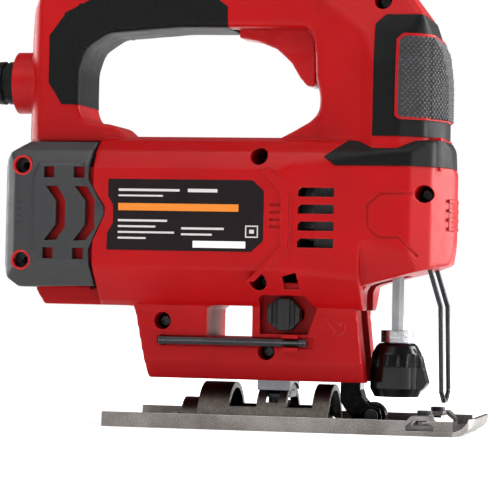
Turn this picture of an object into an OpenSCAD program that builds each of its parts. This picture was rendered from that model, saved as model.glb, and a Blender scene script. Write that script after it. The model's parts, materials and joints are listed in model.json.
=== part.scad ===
// Corded D-handle jigsaw, modelled as separate pieces with its real joints.
// Frame: X points forward, Y to the tool's left, Z up. Z = 0 is the underside of the sole,
// Y = 0 is the centre plane, and X = 0 is on the bevel axis. Millimetres.

/* [Sole] */
// Width of the sole across its flanges
sole_w = 70; // [64:1:84]
// Length of the sole behind the origin
sole_rear = 54; // [48:1:66]
// Length of the sole ahead of the origin, to the tip of its nose
sole_front = 100; // [96:1:120]
// Thickness of the pressed sheet
sheet_t = 2; // [1.5:0.1:2.4]
// Height of the side flanges
flange_h = 6.2; // [5:0.1:7.5]
// Width of the slot that the blade and the roller work in
blade_slot_w = 26; // [21:0.5:31]
// X of the middle of the edge guide windows
guide_x = 78.7; // [76:0.1:80]
// Opening of an edge guide window along X
guide_w = 11.6; // [9:0.1:12]

/* [Bevel hump] */
// Outer radius of the half-round hump that the sole tilts on
hump_r = 18.8; // [16:0.1:19]
// Thickness of the hump's sheet
hump_t = 2.5; // [1.8:0.1:3]
// X of the hump's rear end
hump_x0 = -17.5; // [-22:0.1:-14]
// X of the hump's front end
hump_x1 = 38; // [34:0.1:38.5]
// X of the bevel screw
bevel_screw_x = 13.6; // [12:0.1:15]
// Tilt that the arc slot allows each way, in degrees
bevel_limit = 45; // [30:1:46]

/* [Body] */
// Width of the motor barrel
barrel_w = 68; // [66:1:82]
// Height of the barrel's top above the sole
barrel_top = 121.7; // [120:0.1:128]
// X of the front of the nose
nose_x = 87.7; // [86:0.1:100]
// Width of the lower housing
lower_w = 36; // [34:0.5:44]
// Height of the lower housing's underside
lower_z = 20; // [19.7:0.1:21]
// Thickness of the housing's wall
wall = 3; // [2.2:0.1:3.2]
// Width of the handle
handle_w = 34; // [30:1:42]
// Height of the top of the handle
handle_top = 205; // [200:1:220]

/* [Motor] */
// Height of the armature's axis
motor_z = 80; // [79:0.1:82]
// Radius of the field core
field_r = 26.5; // [24:0.1:26.8]
// Radius of the armature core
armature_r = 15; // [12.5:0.1:16]
// Radius of the armature shaft
shaft_r = 4; // [3:0.1:4.8]
// Radius of the fan
fan_r = 23.5; // [19:0.1:24]

/* [Drive] */
// Module of the gear pair
gear_module = 0.8; // [0.7:0.01:0.85]
// Teeth on the pinion
pinion_teeth = 8; // [8:1:9]
// Teeth on the drive gear
gear_teeth = 38; // [34:1:38]
// Stroke of the plunger
stroke = 18; // [14:0.5:19]
// Radius of the crank pin
crank_pin_r = 3; // [2.4:0.1:3.2]
// Width of the plunger bar across Y
plunger_w = 12; // [9:0.1:13.5]
// Thickness of the plunger bar along X
plunger_t = 3.1; // [2.6:0.1:3.8]
// X of the middle of the plunger bar
plunger_x = 63.75; // [63:0.05:64.5]

/* [Blade clamp] */
// Radius of the clamp's bell at its widest
bell_r = 11; // [9.5:0.1:11]
// Height of the bell's lower rim at the bottom of the stroke
bell_z = 14.4; // [14.2:0.1:16]
// Radius of the steel collar
collar_r = 6.8; // [6.7:0.1:8]
// Turn of the bell that opens the clamp, in degrees
clamp_turn = 60; // [30:1:75]

/* [Guide roller] */
// Radius of the guide roller
roller_r = 5.8; // [5:0.1:5.9]
// Width of the guide roller
roller_w = 5.2; // [4:0.1:6.4]
// Thickness of the roller arm across Y
arm_t = 10.4; // [9:0.1:12.5]
// Radius of the arm's pivot pin
arm_pin_r = 2.5; // [2:0.1:3]

/* [Hex key] */
// Size of the key across its flats
key_af = 3; // [2.5:0.5:4]
// Length of the key's long arm
key_long = 63; // [55:1:66]
// Length of the key's short arm
key_short = 20; // [18:1:20]

/* [Cord] */
// Diameter of the cord
cord_d = 7.4; // [6:0.1:8]
// Length of the strain relief outside the body
boot_len = 46.6; // [36:0.1:50]

/* [Fits] */
// Radial clearance of a pin that turns in its bore
running = 0.05; // [0.02:0.01:0.1]
// Clearance between pieces that move past each other
gap = 0.3; // [0.3:0.05:0.6]
// Depth that overmoulds and skins are let into the housing
inlay = 1.2; // [0.8:0.1:1.5]

/* [Hidden] */
$fn = 64;
big = 400;

bw = barrel_w / 2;
lw = lower_w / 2;
hw = handle_w / 2;
sw = sole_w / 2;
barrel_bot = 50;
barrel_x0 = -60.5;
barrel_x1 = 52;
cap_top = 118.6;
cap_bot = 57;
boss_x = -90.8;
boss_z = [68.3, 107.9];
boss_r = 4.2;
boss_bore_r = 3.3;
boss_len = 3;
cap_seam = 0.3;

slot_half = 8;
slot_wall = 2.5;
slot_x0 = 31.5;
slot_top = 66;

gear_z = motor_z + gear_module * (pinion_teeth + gear_teeth) / 2;
gear_x = 44;
gear_len = 6;
plate_x = 31;
plate_t = 4;
cheek_y = 17.5;
cheek_t = 2;
bearing_x = 33;
bearing_len = 7;
bearing_r = 9.5;
rear_bearing_x = -90;
lower_bush_z = 70;
bush_h = 8;
bevel_screw_top = lower_z + 8;
plate_top = barrel_top - wall - 2.6;
recess_wall = 1.3;
yoke_h = crank_pin_r + gap + 3.1;
yoke_z = gear_z - stroke / 2;
upper_bush_z = gear_z + stroke / 2 + yoke_h + 1.2;
yoke_y = stroke / 2 + crank_pin_r + gap + 3.2;
plunger_rear = plunger_x - plunger_t / 2;
plunger_front = plunger_x + plunger_t / 2;
collar_z = 37;
collar_h = 5;
core_r = 5.6;

roller_x = 54.3;
roller_z = 6.2;
arm_x = 45.2;
arm_z = 30;
arm_tail_z = 47;
roller_pin_r = 2;
selector_x = 36.2;
selector_z = 41.5;
selector_r = 3.4;

screw_r = 1.6;
screw_head_r = 3.4;
screw_well_r = 3.65;
screw_seat_y = -9.5;
// X and Z of each housing screw
body_screws = [[-33.1, 44.1], [11.5, 32.3], [9.7, 61.2], [9.6, 112.6], [77, 98.3], [-76, 184], [58, 178]];

key_z = 36;
key_x0 = -34.2;
key_y = -lw - 1.3;
knob_x = 18.6;
knob_z = 47.9;
knob_af = 13.7;

trigger_x = 22;
trigger_z = 172;
dial_x = 42;
dial_z = 189.6;
dial_r = 12;
lock_x = 6;
lock_z = 181;
cord_z = 145;
boot_x = -92.6;

guard_x = 84.2;
wire_r = 1;

cord_r = cord_d / 2;
// The coil of stored cord: its centre, and its radius at the middle of the two turns side by side
coil_x = -172;
coil_y = 18.5;
coil_r = 38;
outer_turn = coil_r + cord_r;
inner_turn = coil_r - cord_r;
coil_top = 3 * cord_d;
// The cord's route from the strain relief down to the floor and into the coil's outer turn
cord_path = [[boot_x - boot_len, 0, cord_z], [-156, -0.2, 144.3], [-176, -2, 139], [-195, -6, 126],
             [-209, -12, 106], [-218, -19, 82], [-222, -24, 57], [-222, -23.5, 34], [-219.5, -15, 16.5],
             [-216, -1, cord_r + 2.9], [coil_x - outer_turn, coil_y, cord_r]];
// The plug lies on the coil. Both are placed from the coil's centre and top
plug_at = [31, 3.3, 8];
tail_path = [[-0.94 * inner_turn, -11.7, -cord_r], [-inner_turn, 3, 1.6], [-0.87 * inner_turn, 17.1, cord_r],
             [-0.5 * inner_turn, 29.7, cord_r + 0.1], [0, inner_turn, cord_r + 0.7], [15.5, 30, 5.6],
             [26.8, 18.8, 7.2], plug_at];

// Piece to build, or all of them

// ---- helpers ----

module along_y(y0, y1) { translate([0, y1, 0]) rotate([90, 0, 0]) linear_extrude(y1 - y0) children(); }
module along_x(x0, x1) { translate([x0, 0, 0]) rotate([90, 0, 90]) linear_extrude(x1 - x0) children(); }
module along_z(z0, z1) { translate([0, 0, z0]) linear_extrude(z1 - z0) children(); }
module rod_x(x0, x1, r, y = 0, z = 0) {
    translate([x0, y, z]) rotate([0, 90, 0]) cylinder(h = x1 - x0, r = r);
}
module rod_y(y0, y1, r, x = 0, z = 0) {
    translate([x, y0, z]) rotate([-90, 0, 0]) cylinder(h = y1 - y0, r = r);
}
module rod_z(z0, z1, r, x = 0, y = 0) { translate([x, y, z0]) cylinder(h = z1 - z0, r = r); }
module block(x, y, z) {
    translate([x[0], y[0], z[0]]) cube([x[1] - x[0], y[1] - y[0], z[1] - z[0]]);
}
module both_sides() {
    children();
    mirror([0, 1, 0]) children();
}

// A section in Y and Z, or a plan in X and Y, closed by its own mirror image
function section(p) = concat(p, [for (i = [len(p) - 1 : -1 : 0]) [-p[i][0], p[i][1]]]);
function plan(p) = concat(p, [for (i = [len(p) - 1 : -1 : 0]) [p[i][0], -p[i][1]]]);

// ---- outer forms: d is how far each face is moved inwards ----

module top_section(bottom) {
    polygon(section(concat(bottom, [[bw, barrel_top - 14], [bw - 4, barrel_top - 7.3],
                                    [bw - 11, barrel_top - 2.3], [bw - 22, barrel_top]])));
}

module body_plan(rear) {
    polygon(plan([[rear, bw], [20, bw], [24, bw - 1], [42, bw - 2], [56, bw - 3.5],
                  [nose_x - 16, bw - 5.5], [nose_x - 8, bw - 13], [nose_x - 3.4, bw - 22],
                  [nose_x, 5]]));
}

module barrel_form(d = 0, open = 0) {
    intersection() {
        along_x(barrel_x0 - open, barrel_x1 - d) offset(delta = -d)
            top_section([[17, barrel_bot], [20.5, barrel_bot + 2], [bw, barrel_bot + 16]]);
        along_z(0, big) offset(delta = -d) body_plan(barrel_x0 - open - d);
    }
}

module nose_form(d = 0) {
    intersection() {
        along_y(-bw, bw) offset(delta = -d)
            polygon([[33, 66], [44, 57], [56, 61.3], [nose_x - 1.5, 69.3], [nose_x, 78], [nose_x, 108],
                     [nose_x - 1.2, 109.6], [nose_x - 1.8, barrel_top - 4], [nose_x - 4, barrel_top - 1.2],
                     [nose_x - 9, barrel_top], [33, barrel_top]]);
        along_x(33, nose_x) offset(delta = -d)
            top_section([[bw - 10, 53], [bw - 10, 62], [bw - 3.5, 77.5], [bw, 84]]);
        along_z(0, big) offset(delta = -d) body_plan(barrel_x0);
    }
}

module lower_form(d = 0) {
    intersection() {
        along_y(-lw, lw) offset(delta = -d)
            polygon([[-39.7, lower_z], [-46.5, 54], [-46.5, 68], [54.1, 68], [54.1, 62.1],
                     [49.2, 52.2], [53, lower_z]]);
        along_x(-50, 60) offset(delta = -d)
            polygon(section([[lw - 3, lower_z], [lw, lower_z + 8], [lw, 80]]));
    }
}

module shelf_form(d = 0) {
    along_y(-16 + d, 16 - d) offset(delta = -d)
        polygon([[-85.6, barrel_bot], [-89.6, cap_bot - 0.6], [-89.6, cap_bot + 1],
                 [barrel_x0 + 8, cap_bot + 1], [barrel_x0 + 8, barrel_bot]]);
}

module handle_opening() {
    polygon([[-50.5, barrel_top - 1], [-57.5, 126.6], [-67.6, 127.4], [-70.4, 129.6], [-72, 134.6],
             [-72, 150], [-69, 159], [-60, 165], [-30, 167.4], [26, 167], [28.8, 162],
             [29.6, 145.6], [31.8, 138.5], [31.4, 132.5], [28, 128.4], [21.2, 124.4],
             [14.4, barrel_top - 1]]);
}

module handle_form(d = 0) {
    intersection() {
        along_y(-hw, hw) difference() {
            offset(delta = -d) polygon([
                [-95.6, cap_top + cap_seam], [-95.6, handle_top - 45], [-94, handle_top - 30],
                [-88, handle_top - 17], [-77, handle_top - 8.5], [-55, handle_top - 3],
                [-15, handle_top], [25, handle_top - 1], [48, handle_top - 7],
                [64, handle_top - 17], [75, handle_top - 32], [81, handle_top - 47], [83.2, 145],
                [83.4, 108], [barrel_x0, 108], [barrel_x0, cap_top + cap_seam]]);
            offset(delta = d) handle_opening();
        }
        along_x(-100, 90) offset(delta = -d)
            polygon(section([[hw, 100], [hw, handle_top - 15], [hw - 3, handle_top - 8],
                             [hw - 8, handle_top + 1]]));
        along_z(0, big) offset(delta = -d)
            polygon(plan([[-95.6, hw - 9], [-93.4, hw - 4], [-89.4, hw], [90, hw]]));
    }
}

module column_form(d = 0) {
    intersection() {
        along_y(-30, 30) offset(delta = -d) polygon([
            [32, 108], [32, 132], [32.2, 138.5], [29.8, 145.6], [28.8, 162], [34, handle_top - 14],
            [48, handle_top - 7], [64, handle_top - 17], [75, handle_top - 32],
            [81, handle_top - 47], [83.2, 145], [83.4, 128], [83.4, 108]]);
        along_x(20, 90) offset(delta = -d)
            polygon(section([[bw - 6.2, 100], [bw - 6.2, 150], [bw - 10, 166], [hw - 1, handle_top - 20],
                             [hw - 6, handle_top - 5]]));
        along_z(0, big) offset(delta = -d)
            polygon(plan([[29, hw], [50, bw - 10.4], [56, bw - 6.4], [66, bw - 6.4],
                          [76, bw - 13], [81, bw - 22], [83.4, 6]]));
    }
}

// ---- shapes that both the housing and its fitted pieces use ----

module band_region() {
    along_y(-60, 60) polygon([[36.8, barrel_top - 8.9], [45.7, barrel_top - 1.4], [95, barrel_top - 1.2],
                              [95, barrel_top - 12.1], [41.5, barrel_top - 12.5]]);
}
module panel_region(inset = 0) {
    along_y(-60, 60) polygon([[55.8 + inset, barrel_top + inset], [95, barrel_top + inset],
                              [95, 172 - inset], [60 + inset, 172 - inset], [55.8 + inset, 168 - inset]]);
}
module pad_region(inset = 0) {
    along_y(-60, 60) offset(delta = -inset)
        polygon([[66.5, 128.6], [105, 128.6], [105, 164], [67.5, 164], [65, 161.5], [65, 130.1]]);
}
module grip_region() {
    along_y(-60, 60) polygon([[-85.3, 144], [-79.4, 134.8], [-40, 134.4], [-40, 150], [-8, 150],
                              [-8, 176], [-16, 182], [-62, 182], [-78, 174], [-85.3, 164]]);
}
module top_region() {
    along_y(-60, 60) polygon([[-74, 186], [12, 186], [20, 190], [24, 230], [-84, 230], [-80, 192]]);
}
module label_outline() {
    polygon([[-53.4, 102.6], [7.8, 102.6], [12.5, 98.2], [12.5, 77.8], [7.6, 73.2], [-53.6, 73.2],
             [-53.6, 80], [-51.2, 84.4], [-51.2, 91.8], [-53.4, 95.4]]);
}
module chevron(x) {
    translate([x, 0]) polygon([[-2.6, 99.4], [2.6, 99.4], [6.2, 93.8], [6.2, 82.5], [2.5, 76.9],
                               [-3, 76.6], [2, 83.3], [2, 93.3]]);
}
module cap_outline(grow = 0) {
    offset(delta = grow) polygon([
        [-60.8, cap_bot + 3], [-61.2, 66.3], [-61.7, 73], [-55, 87.6], [-55, 91], [-62.2, 102.4],
        [-61.8, 108.1], [-60.8, 116.3], [barrel_x0 - 0.2, cap_top], [-90.5, cap_top], [-97, 113.6],
        [-100.9, 108.6], [-102.6, 100], [-102.6, 75], [-101.4, 66.5], [-98, 60.6], [-93.8, cap_bot],
        [-60.8, cap_bot + 1]]);
}

// ---- housing ----

module window_outline(grow = 0) {
    offset(delta = grow) polygon([[-14, 37.8], [5.4, 37.8], [5.4, 51], [-12, 51], [-14, 49.5]]);
}
module recess_outline(grow = 0) {
    offset(delta = grow)
        polygon([[8.5, 39.5], [28.9, 39.5], [32.7, 50.2], [28.2, 55.7], [10, 55.7], [8.5, 54.3]]);
}

module field_ribs() {
    for (x = [-47, -22]) difference() {
        block([x, x + 2], [-60, 60], [barrel_bot, 130]);
        rod_x(x - 1, x + 3, field_r, 0, motor_z);
    }
}

// Solid left standing inside the hollow housing
module inner_solids() {
    for (p = body_screws) rod_y(-60, 60, 5.2, p[0], p[1]);
    along_y(-60, 60) window_outline(slot_wall);
    along_y(-60, -lw + 9.5) recess_outline(recess_wall);
    block([slot_x0 - slot_wall, 60], [-slot_half - slot_wall, slot_half + slot_wall], [0, slot_top]);
    rod_y(-60, 0, key_af + 1, key_x0 + key_af / 2, key_z);
    rod_z(0, bevel_screw_top + 3, 5.5, bevel_screw_x);
    block([bevel_screw_x - 8, bevel_screw_x + 8], [-12, 12], [0, lower_z + 4.5]);
    // Stiffening ribs behind the hex key
    for (x = [-44, -34]) block([x, x + 2], [-60, 60], [0, key_z + 4]);
    field_ribs();
    rod_x(-110, -90.5 + 2.1, 14, 0, cord_z);
    block([lock_x - 8, lock_x + 8], [hw - 5, 60], [lock_z - 8, lock_z + 8]);
}

module housing_cavity() {
    difference() {
        union() {
            barrel_form(wall, wall + 2);
            nose_form(wall);
            lower_form(wall);
            handle_form(wall);
            column_form(wall);
        }
        inner_solids();
    }
}

module decor_groove() {
    p = [[74, 98.3], [60.1, 98.1], [54.9, 93.4], [55, 84.6], [59.5, 80.1], [67.8, 80.2], [74.5, 73]];
    for (i = [0 : len(p) - 2]) {
        a = atan2(p[i + 1][1] - p[i][1], p[i + 1][0] - p[i][0]);
        n = norm(p[i + 1] - p[i]);
        translate([p[i][0], p[i][1]]) rotate(a) translate([-0.6, -0.6]) square([n + 1.2, 1.2]);
    }
}

module side_vents() {
    for (i = [0 : 3]) {
        z = 98.1 - 6.95 * i;
        polygon([[26.4, z - 1.9], [41, z - 1.9], [41.4, z - 1], [41.4, z + 1.9], [27.6, z + 1.9],
                 [26.4, z + 0.8]]);
    }
}

module housing_cuts() {
    // Screw wells on the right, screw holes through to the left
    for (p = body_screws) {
        rod_y(-60, screw_seat_y, screw_well_r, p[0], p[1]);
        rod_y(screw_seat_y - 1, 13, screw_r, p[0], p[1]);
    }
    along_y(-60, 60) window_outline();
    along_y(-60, -lw + 6.5) recess_outline();
    block([knob_x - 3.5, knob_x + 7.5], [-lw + 6, -lw + 20], [knob_z - 2, knob_z + 2]);
    // Slot for the roller arm, and the plunger's way out of the nose
    block([slot_x0, 80], [-slot_half, slot_half], [0, 60]);
    block([slot_x0 + 14, 68.6], [-slot_half, slot_half], [50, slot_top + 4]);
    rod_y(-12, 12, arm_pin_r, arm_x, arm_z);
    rod_y(-11, 60, selector_r + running, selector_x, selector_z);
    // Bevel seat pocket and screw
    block([bevel_screw_x - 7, bevel_screw_x + 7], [-10.5, 10.5], [0, lower_z + 2.4]);
    rod_z(0, bevel_screw_top, 2.5, bevel_screw_x);
    // Hex key groove and hole
    rod_y(-60, key_y + key_short - key_af / 2 + gap, key_af / 2 + 0.6, key_x0 + key_af / 2, key_z);
    block([key_x0 - 1, key_x0 + key_long + 2.5], [-60, -lw + 0.6], [key_z - 2.1, key_z + 2.1]);
    // Vents and small pockets on both sides
    both_sides() along_y(-60, -24) side_vents();
    difference() {
        both_sides() along_y(-60, -20) decor_groove();
        nose_form(0.7);
    }
    both_sides() along_y(-60, -bw + 1) for (i = [0 : 3])
        translate([15, 92.6 - 3 * i - 0.7]) square([4.4, 1.5]);
    both_sides() along_y(-60, -bw + 9)
        polygon([[20.4, 58.2], [26.9, 58.4], [26.1, 65.1], [19.9, 63.4]]);
    // Pocket for the label
    along_y(-60, -bw + 0.4) label_outline();
    // Seats of the rear cap, the band, the panel and the rubbers
    both_sides() along_y(-60, -bw + wall) cap_outline(0.15);
    difference() {
        band_region();
        nose_form(inlay);
        column_form();
    }
    difference() {
        panel_region();
        column_form(inlay);
    }
    difference() {
        union() {
            grip_region();
            top_region();
        }
        handle_form(inlay);
    }
    // Cord inlet, trigger slot, lock button, dial
    rod_x(-110, -90, 8.6, 0, cord_z);
    rod_x(-95.6 + wall, -80, 10.6, 0, cord_z);
    block([-8, 28.3], [-7, 7], [150, 186]);
    rod_y(-hw + 1.5, hw - 1.5, 1.5, trigger_x, trigger_z);
    rod_y(0, 60, 4.2 + gap, lock_x, lock_z);
    block([dial_x - dial_r - 0.6, dial_x + dial_r + 0.6], [-3.6, 3.6], [dial_z - dial_r - 2, 240]);
    rod_y(-hw + 1.5, hw - 1.5, 2, dial_x, dial_z);
    // Holes of the wire guard in the nose's floor
    both_sides() wire_leg();
}

module housing_extras() {
    // Raised border at the front of the label
    both_sides() along_y(-bw - 0.7, -bw + 2)
        polygon([[11.7, 106.6], [14.4, 107.6], [23, 99.8], [22.8, 75.2], [9, 61.2], [6, 61],
                 [19.9, 75.9], [19.5, 98.8]]);
    // Tongues behind the cap's intake slots
    both_sides() block([-84, -51], [-bw + wall + 0.6, -bw + wall + 2.4], [68.5, 107.5]);
    both_sides() block([-54.4, -51], [-bw + wall - 0.5, -bw + wall + 1], [68.5, 107.5]);
    // Cord collar
    difference() {
        rod_x(-103, boot_x, 13.2, 0, cord_z);
        rod_x(-104, -90, 8.6, 0, cord_z);
        handle_form(wall);
    }
    // Ribs that hold the hex key
    for (z = [key_z - key_af / 2 - 1.9, key_z + key_af / 2 + 0.4])
        block([18.6, 25.4], [key_y - 2.2, -lw + 1], [z, z + 1.5]);
    // Nose ribs
    intersection() {
        for (z = [83.8, 87.6, 91.4, 95.2]) block([nose_x - 7, nose_x + 5], [-20, 20], [z, z + 1.4]);
        nose_form(-0.6);
    }
}

module housing_shell() {
    difference() {
        union() {
            barrel_form();
            nose_form();
            lower_form();
            shelf_form();
            handle_form();
            column_form();
        }
        housing_cavity();
        shelf_form(wall - 1);
        housing_cuts();
    }
    housing_extras();
}

module housing_right() {
    color("#a81219") intersection() {
        housing_shell();
        block([-200, 200], [-100, 0], [-10, 300]);
    }
}
module housing_left() {
    color("#a81219") intersection() {
        housing_shell();
        block([-200, 200], [0, 100], [-10, 300]);
    }
}

module cap_section() { top_section([[17, cap_bot - 3], [24, cap_bot - 3], [bw, cap_bot + 9]]); }

module cap_form(d = 0) {
    intersection() {
        along_y(-bw, bw) cap_outline(-d);
        along_x(-110, -50) offset(delta = -d) cap_section();
        along_z(0, big) offset(delta = -d)
            polygon(plan([[-102.6, 13], [-101.4, bw - 12], [-98.6, bw - 5], [-94, bw - 1], [-89, bw],
                          [-50, bw]]));
    }
}

module rear_cap() {
    color("#2b2b2d") difference() {
        union() {
            difference() {
                cap_form();
                cap_form(wall);
                // Open front: the hollow runs on into the barrel
                intersection() {
                    cap_form(-20);
                    along_x(-92, -40) offset(delta = -wall) cap_section();
                }
            }
            intersection() {
                rod_x(-102, rear_bearing_x + bearing_len, 12.5, 0, motor_z);
                cap_form();
            }
            both_sides() for (z = boss_z) intersection() {
                rod_y(-60, -bw + 9, boss_r + 1.6, boss_x, z);
                cap_form();
            }
        }
        rod_x(rear_bearing_x, -60, bearing_r, 0, motor_z);
        // Intake slots
        both_sides() along_y(-60, -20) for (x = [-77.7, -65.1]) chevron(x);
        both_sides() for (x = [-81.1, -68.3]) for (z = [69, 102.8])
            block([x, x + 4.5], [-60, -20], [z, z + 4.7]);
        // Side notches for the fingers, rear slots and the seats of the bosses
        both_sides() for (i = [0 : 3])
            block([-93.4, -90.8], [-60, -bw + 1.2], [83.6 + 2.8 * i, 85 + 2.8 * i]);
        for (z = [94, 98.5, 103]) block([-110, -98], [-13, 13], [z, z + 2.2]);
        both_sides() for (z = boss_z) rod_y(-60, -bw + boss_len, boss_r, boss_x, z);
        both_sides() for (z = boss_z) rod_y(-60, -bw + 7, boss_bore_r, boss_x, z);
        both_sides() for (z = boss_z) rod_y(-60, -bw + 9.5, screw_r, boss_x, z);
        // Channel that the shelf's top stands in
        shelf_form(-cap_seam);
    }
}

module cap_bosses() {
    color("#b5161c") both_sides() for (z = boss_z) difference() {
        rod_y(-bw + 0.2, -bw + boss_len, boss_r, boss_x, z);
        rod_y(-bw - 1, -bw + 4, boss_bore_r, boss_x, z);
    }
}

module housing_screws() {
    color("#6d6f73") for (p = body_screws) difference() {
        union() {
            rod_y(screw_seat_y - 2.6, screw_seat_y, screw_head_r, p[0], p[1]);
            rod_y(screw_seat_y - 0.1, 13, screw_r, p[0], p[1]);
        }
        rod_y(screw_seat_y - 3, screw_seat_y - 1.2, 1.7, p[0], p[1]);
    }
}

module rating_label() {
    color("#1d1416") along_y(-bw, -bw + 0.4) label_outline();
}

module front_band() {
    color("#161617") intersection() {
        band_region();
        difference() {
            nose_form(-0.5);
            nose_form(inlay);
            column_form();
        }
    }
}

module front_panel() {
    color("#1b1b1d") intersection() {
        panel_region();
        difference() {
            column_form(-0.4);
            column_form(inlay);
        }
    }
}

module pad_trim() {
    color("#a81219") intersection() {
        difference() {
            pad_region();
            pad_region(1.2);
        }
        difference() {
            column_form(-1.1);
            column_form(-0.4);
        }
    }
}

module front_pad() {
    color("#39393b") intersection() {
        pad_region(1.2);
        difference() {
            column_form(-1.6);
            column_form(-0.4);
        }
    }
}

module grip_rubber() {
    color("#1b1b1d") intersection() {
        grip_region();
        difference() {
            handle_form(-0.4);
            handle_form(inlay);
        }
    }
}

module top_rubber() {
    color("#1b1b1d") intersection() {
        top_region();
        difference() {
            handle_form(-0.4);
            handle_form(inlay);
        }
    }
}

// ---- cord ----

module strain_relief() {
    color("#1a1a1b") translate([boot_x, 0, cord_z]) rotate([0, -90, 0])
        rotate_extrude() polygon([[0, -2.1], [10.4, -2.1], [10.4, 0], [8.6, 0], [8.6, 10.4], [9.4, 10.4],
                                  [9.4, 19], [cord_r + 1.4, boot_len], [0, boot_len]]);
}

function unit(v) = v / norm(v);
// The part of u that is square to the direction t
function side_of(u, t) = unit(u - (u * t) * t);
function spline(p, i, t) =
    let (a = p[max(i - 1, 0)], b = p[i], c = p[i + 1], d = p[min(i + 2, len(p) - 1)])
    0.5 * (2 * b + (c - a) * t + (2 * a - 5 * b + 4 * c - d) * t * t
           + (3 * b - a - 3 * c + d) * t * t * t);

// A tube of radius r along the route p, with n rings in each stretch
module tube(p, r, n, sides = 10) {
    pts = concat([for (i = [0 : len(p) - 2]) for (k = [0 : n - 1]) spline(p, i, k / n)],
                 [p[len(p) - 1]]);
    m = len(pts);
    tan = [for (i = [0 : m - 1]) unit(pts[min(i + 1, m - 1)] - pts[max(i - 1, 0)])];
    ups = [for (i = 0, u = side_of([0, 1, 0], tan[0]); i < m;
                i = i + 1, u = side_of(u, tan[min(i, m - 1)])) u];
    ring = [for (i = [0 : m - 1]) for (k = [0 : sides - 1])
            let (a = 360 * k / sides) pts[i] + r * (cos(a) * ups[i] + sin(a) * cross(tan[i], ups[i]))];
    polyhedron(points = ring, faces = concat(
        [[for (k = [0 : sides - 1]) k]],
        [for (i = [0 : m - 2]) for (k = [0 : sides - 1]) let (j = (k + 1) % sides)
            [i * sides + k, (i + 1) * sides + k, (i + 1) * sides + j, i * sides + j]],
        [[for (k = [sides - 1 : -1 : 0]) (m - 1) * sides + k]]));
}

module cord() { color("#202022") tube(cord_path, cord_r, 4); }

module cord_coil() {
    color("#202022") translate([coil_x, coil_y, 0]) rotate_extrude()
        polygon([[coil_r - cord_d, 1], [coil_r - cord_d + 1, 0], [coil_r + cord_d - 1, 0],
                 [coil_r + cord_d, 1], [coil_r + cord_d, 3 * cord_d - 1],
                 [coil_r + cord_d - 1, 3 * cord_d], [coil_r - cord_d + 1, 3 * cord_d],
                 [coil_r - cord_d, 3 * cord_d - 1]]);
}

module cord_tail() {
    color("#202022") translate([coil_x, coil_y, coil_top]) tube(tail_path, cord_r, 4);
}

// The plug is drawn along -X from its cord and then turned to point along -Y
module at_plug() {
    translate([coil_x, coil_y, coil_top] + plug_at) rotate([0, 0, 90]) children();
}

module plug_blades(x0) {
    for (y = [-6.35, 6.35]) block([x0, -34], [y - 0.75, y + 0.75], [-3.15, 3.15]);
}

module plug() {
    color("#202022") at_plug() difference() {
        union() {
            rod_x(-16, 0, cord_r + 1.6);
            along_x(-40, -14)
                polygon([[-9, -8], [9, -8], [12, -4], [12, 4], [9, 8], [-9, 8], [-12, 4], [-12, -4]]);
        }
        plug_blades(-50);
    }
}

module plug_pins() {
    color("#c8a860") at_plug() difference() {
        plug_blades(-57);
        rod_y(-20, 20, 1.6, -53);
    }
}

// ---- controls ----

module hex_key() {
    color("#26272a") {
        difference() {
            union() {
                translate([key_x0, key_y, key_z]) rotate([0, 90, 0]) rotate(30)
                    cylinder(h = key_long, r = key_af / 2 / cos(30), $fn = 6);
                translate([key_x0 + key_af / 2, key_y, key_z]) rotate([-90, 0, 0]) rotate(30)
                    cylinder(h = key_short - key_af / 2, r = key_af / 2 / cos(30), $fn = 6);
            }
            translate([key_x0, key_y, key_z]) rotate([0, 0, 45])
                block([-2.6, -0.9], [-4, 4], [-4, 4]);
        }
    }
}

module blower_knob() {
    color("#232325") {
        difference() {
            translate([knob_x, -lw - 1.2, knob_z]) rotate([-90, 0, 0]) rotate(22.5)
                cylinder(h = 7.2, r = knob_af / 2 / cos(22.5), $fn = 8);
            for (x = [-4.9, 2.6]) block([knob_x + x, knob_x + x + 2.3], [-lw - 2, -lw + 0.4], [30, 60]);
        }
        block([knob_x - 2.2, knob_x + 2.2], [-lw + 5.9, -lw + 12], [knob_z - 1.7, knob_z + 1.7]);
    }
}

module selector_lever() {
    color("#232325") {
        difference() {
            rod_y(-7.4, lw + 2, selector_r, selector_x, selector_z);
            block([selector_x + selector_r - 1, selector_x + 10], [-7.5, 7.4],
                  [selector_z - 10, selector_z + 10]);
        }
        rod_y(lw + gap, lw + 4.3, 6.8, selector_x, selector_z);
        block([selector_x - 11.4, selector_x + 4], [lw + gap, lw + 7], [selector_z - 2.6, selector_z + 2.6]);
    }
}

module trigger() {
    color("#b5161c") difference() {
        along_y(-6.3, 6.3) polygon([
            [-5, 172], [-5, 164], [3, 162.6], [11, 159.4], [17.4, 153.6], [21.4, 147], [24.4, 143.8],
            [27, 143.3], [27.9, 145], [27.4, 160], [27.4, 175.5], [16, 177], [-5, 175]]);
        rod_y(-10, 10, 1.5 + running, trigger_x, trigger_z);
    }
}
module trigger_pin() { color("#8b8d90") rod_y(-hw + 1.5, hw - 1.5, 1.5, trigger_x, trigger_z); }

module lock_button() {
    color("#232325") {
        rod_y(hw - 6, hw + 3, 4.2, lock_x, lock_z);
        rod_y(hw - 7.5, hw - 6, 2, lock_x, lock_z);
    }
}

module speed_dial() {
    color("#b5161c") difference() {
        rod_y(-3.1, 3.1, dial_r, dial_x, dial_z);
        rod_y(-4, 4, 2 + running, dial_x, dial_z);
        for (a = [0 : 15 : 345]) translate([dial_x, 0, dial_z]) rotate([0, a, 0])
            rod_y(-4, 4, 0.7, dial_r + 0.2, 0);
    }
}
module dial_axle() { color("#8b8d90") rod_y(-hw + 1.5, hw - 1.5, 2, dial_x, dial_z); }

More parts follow.
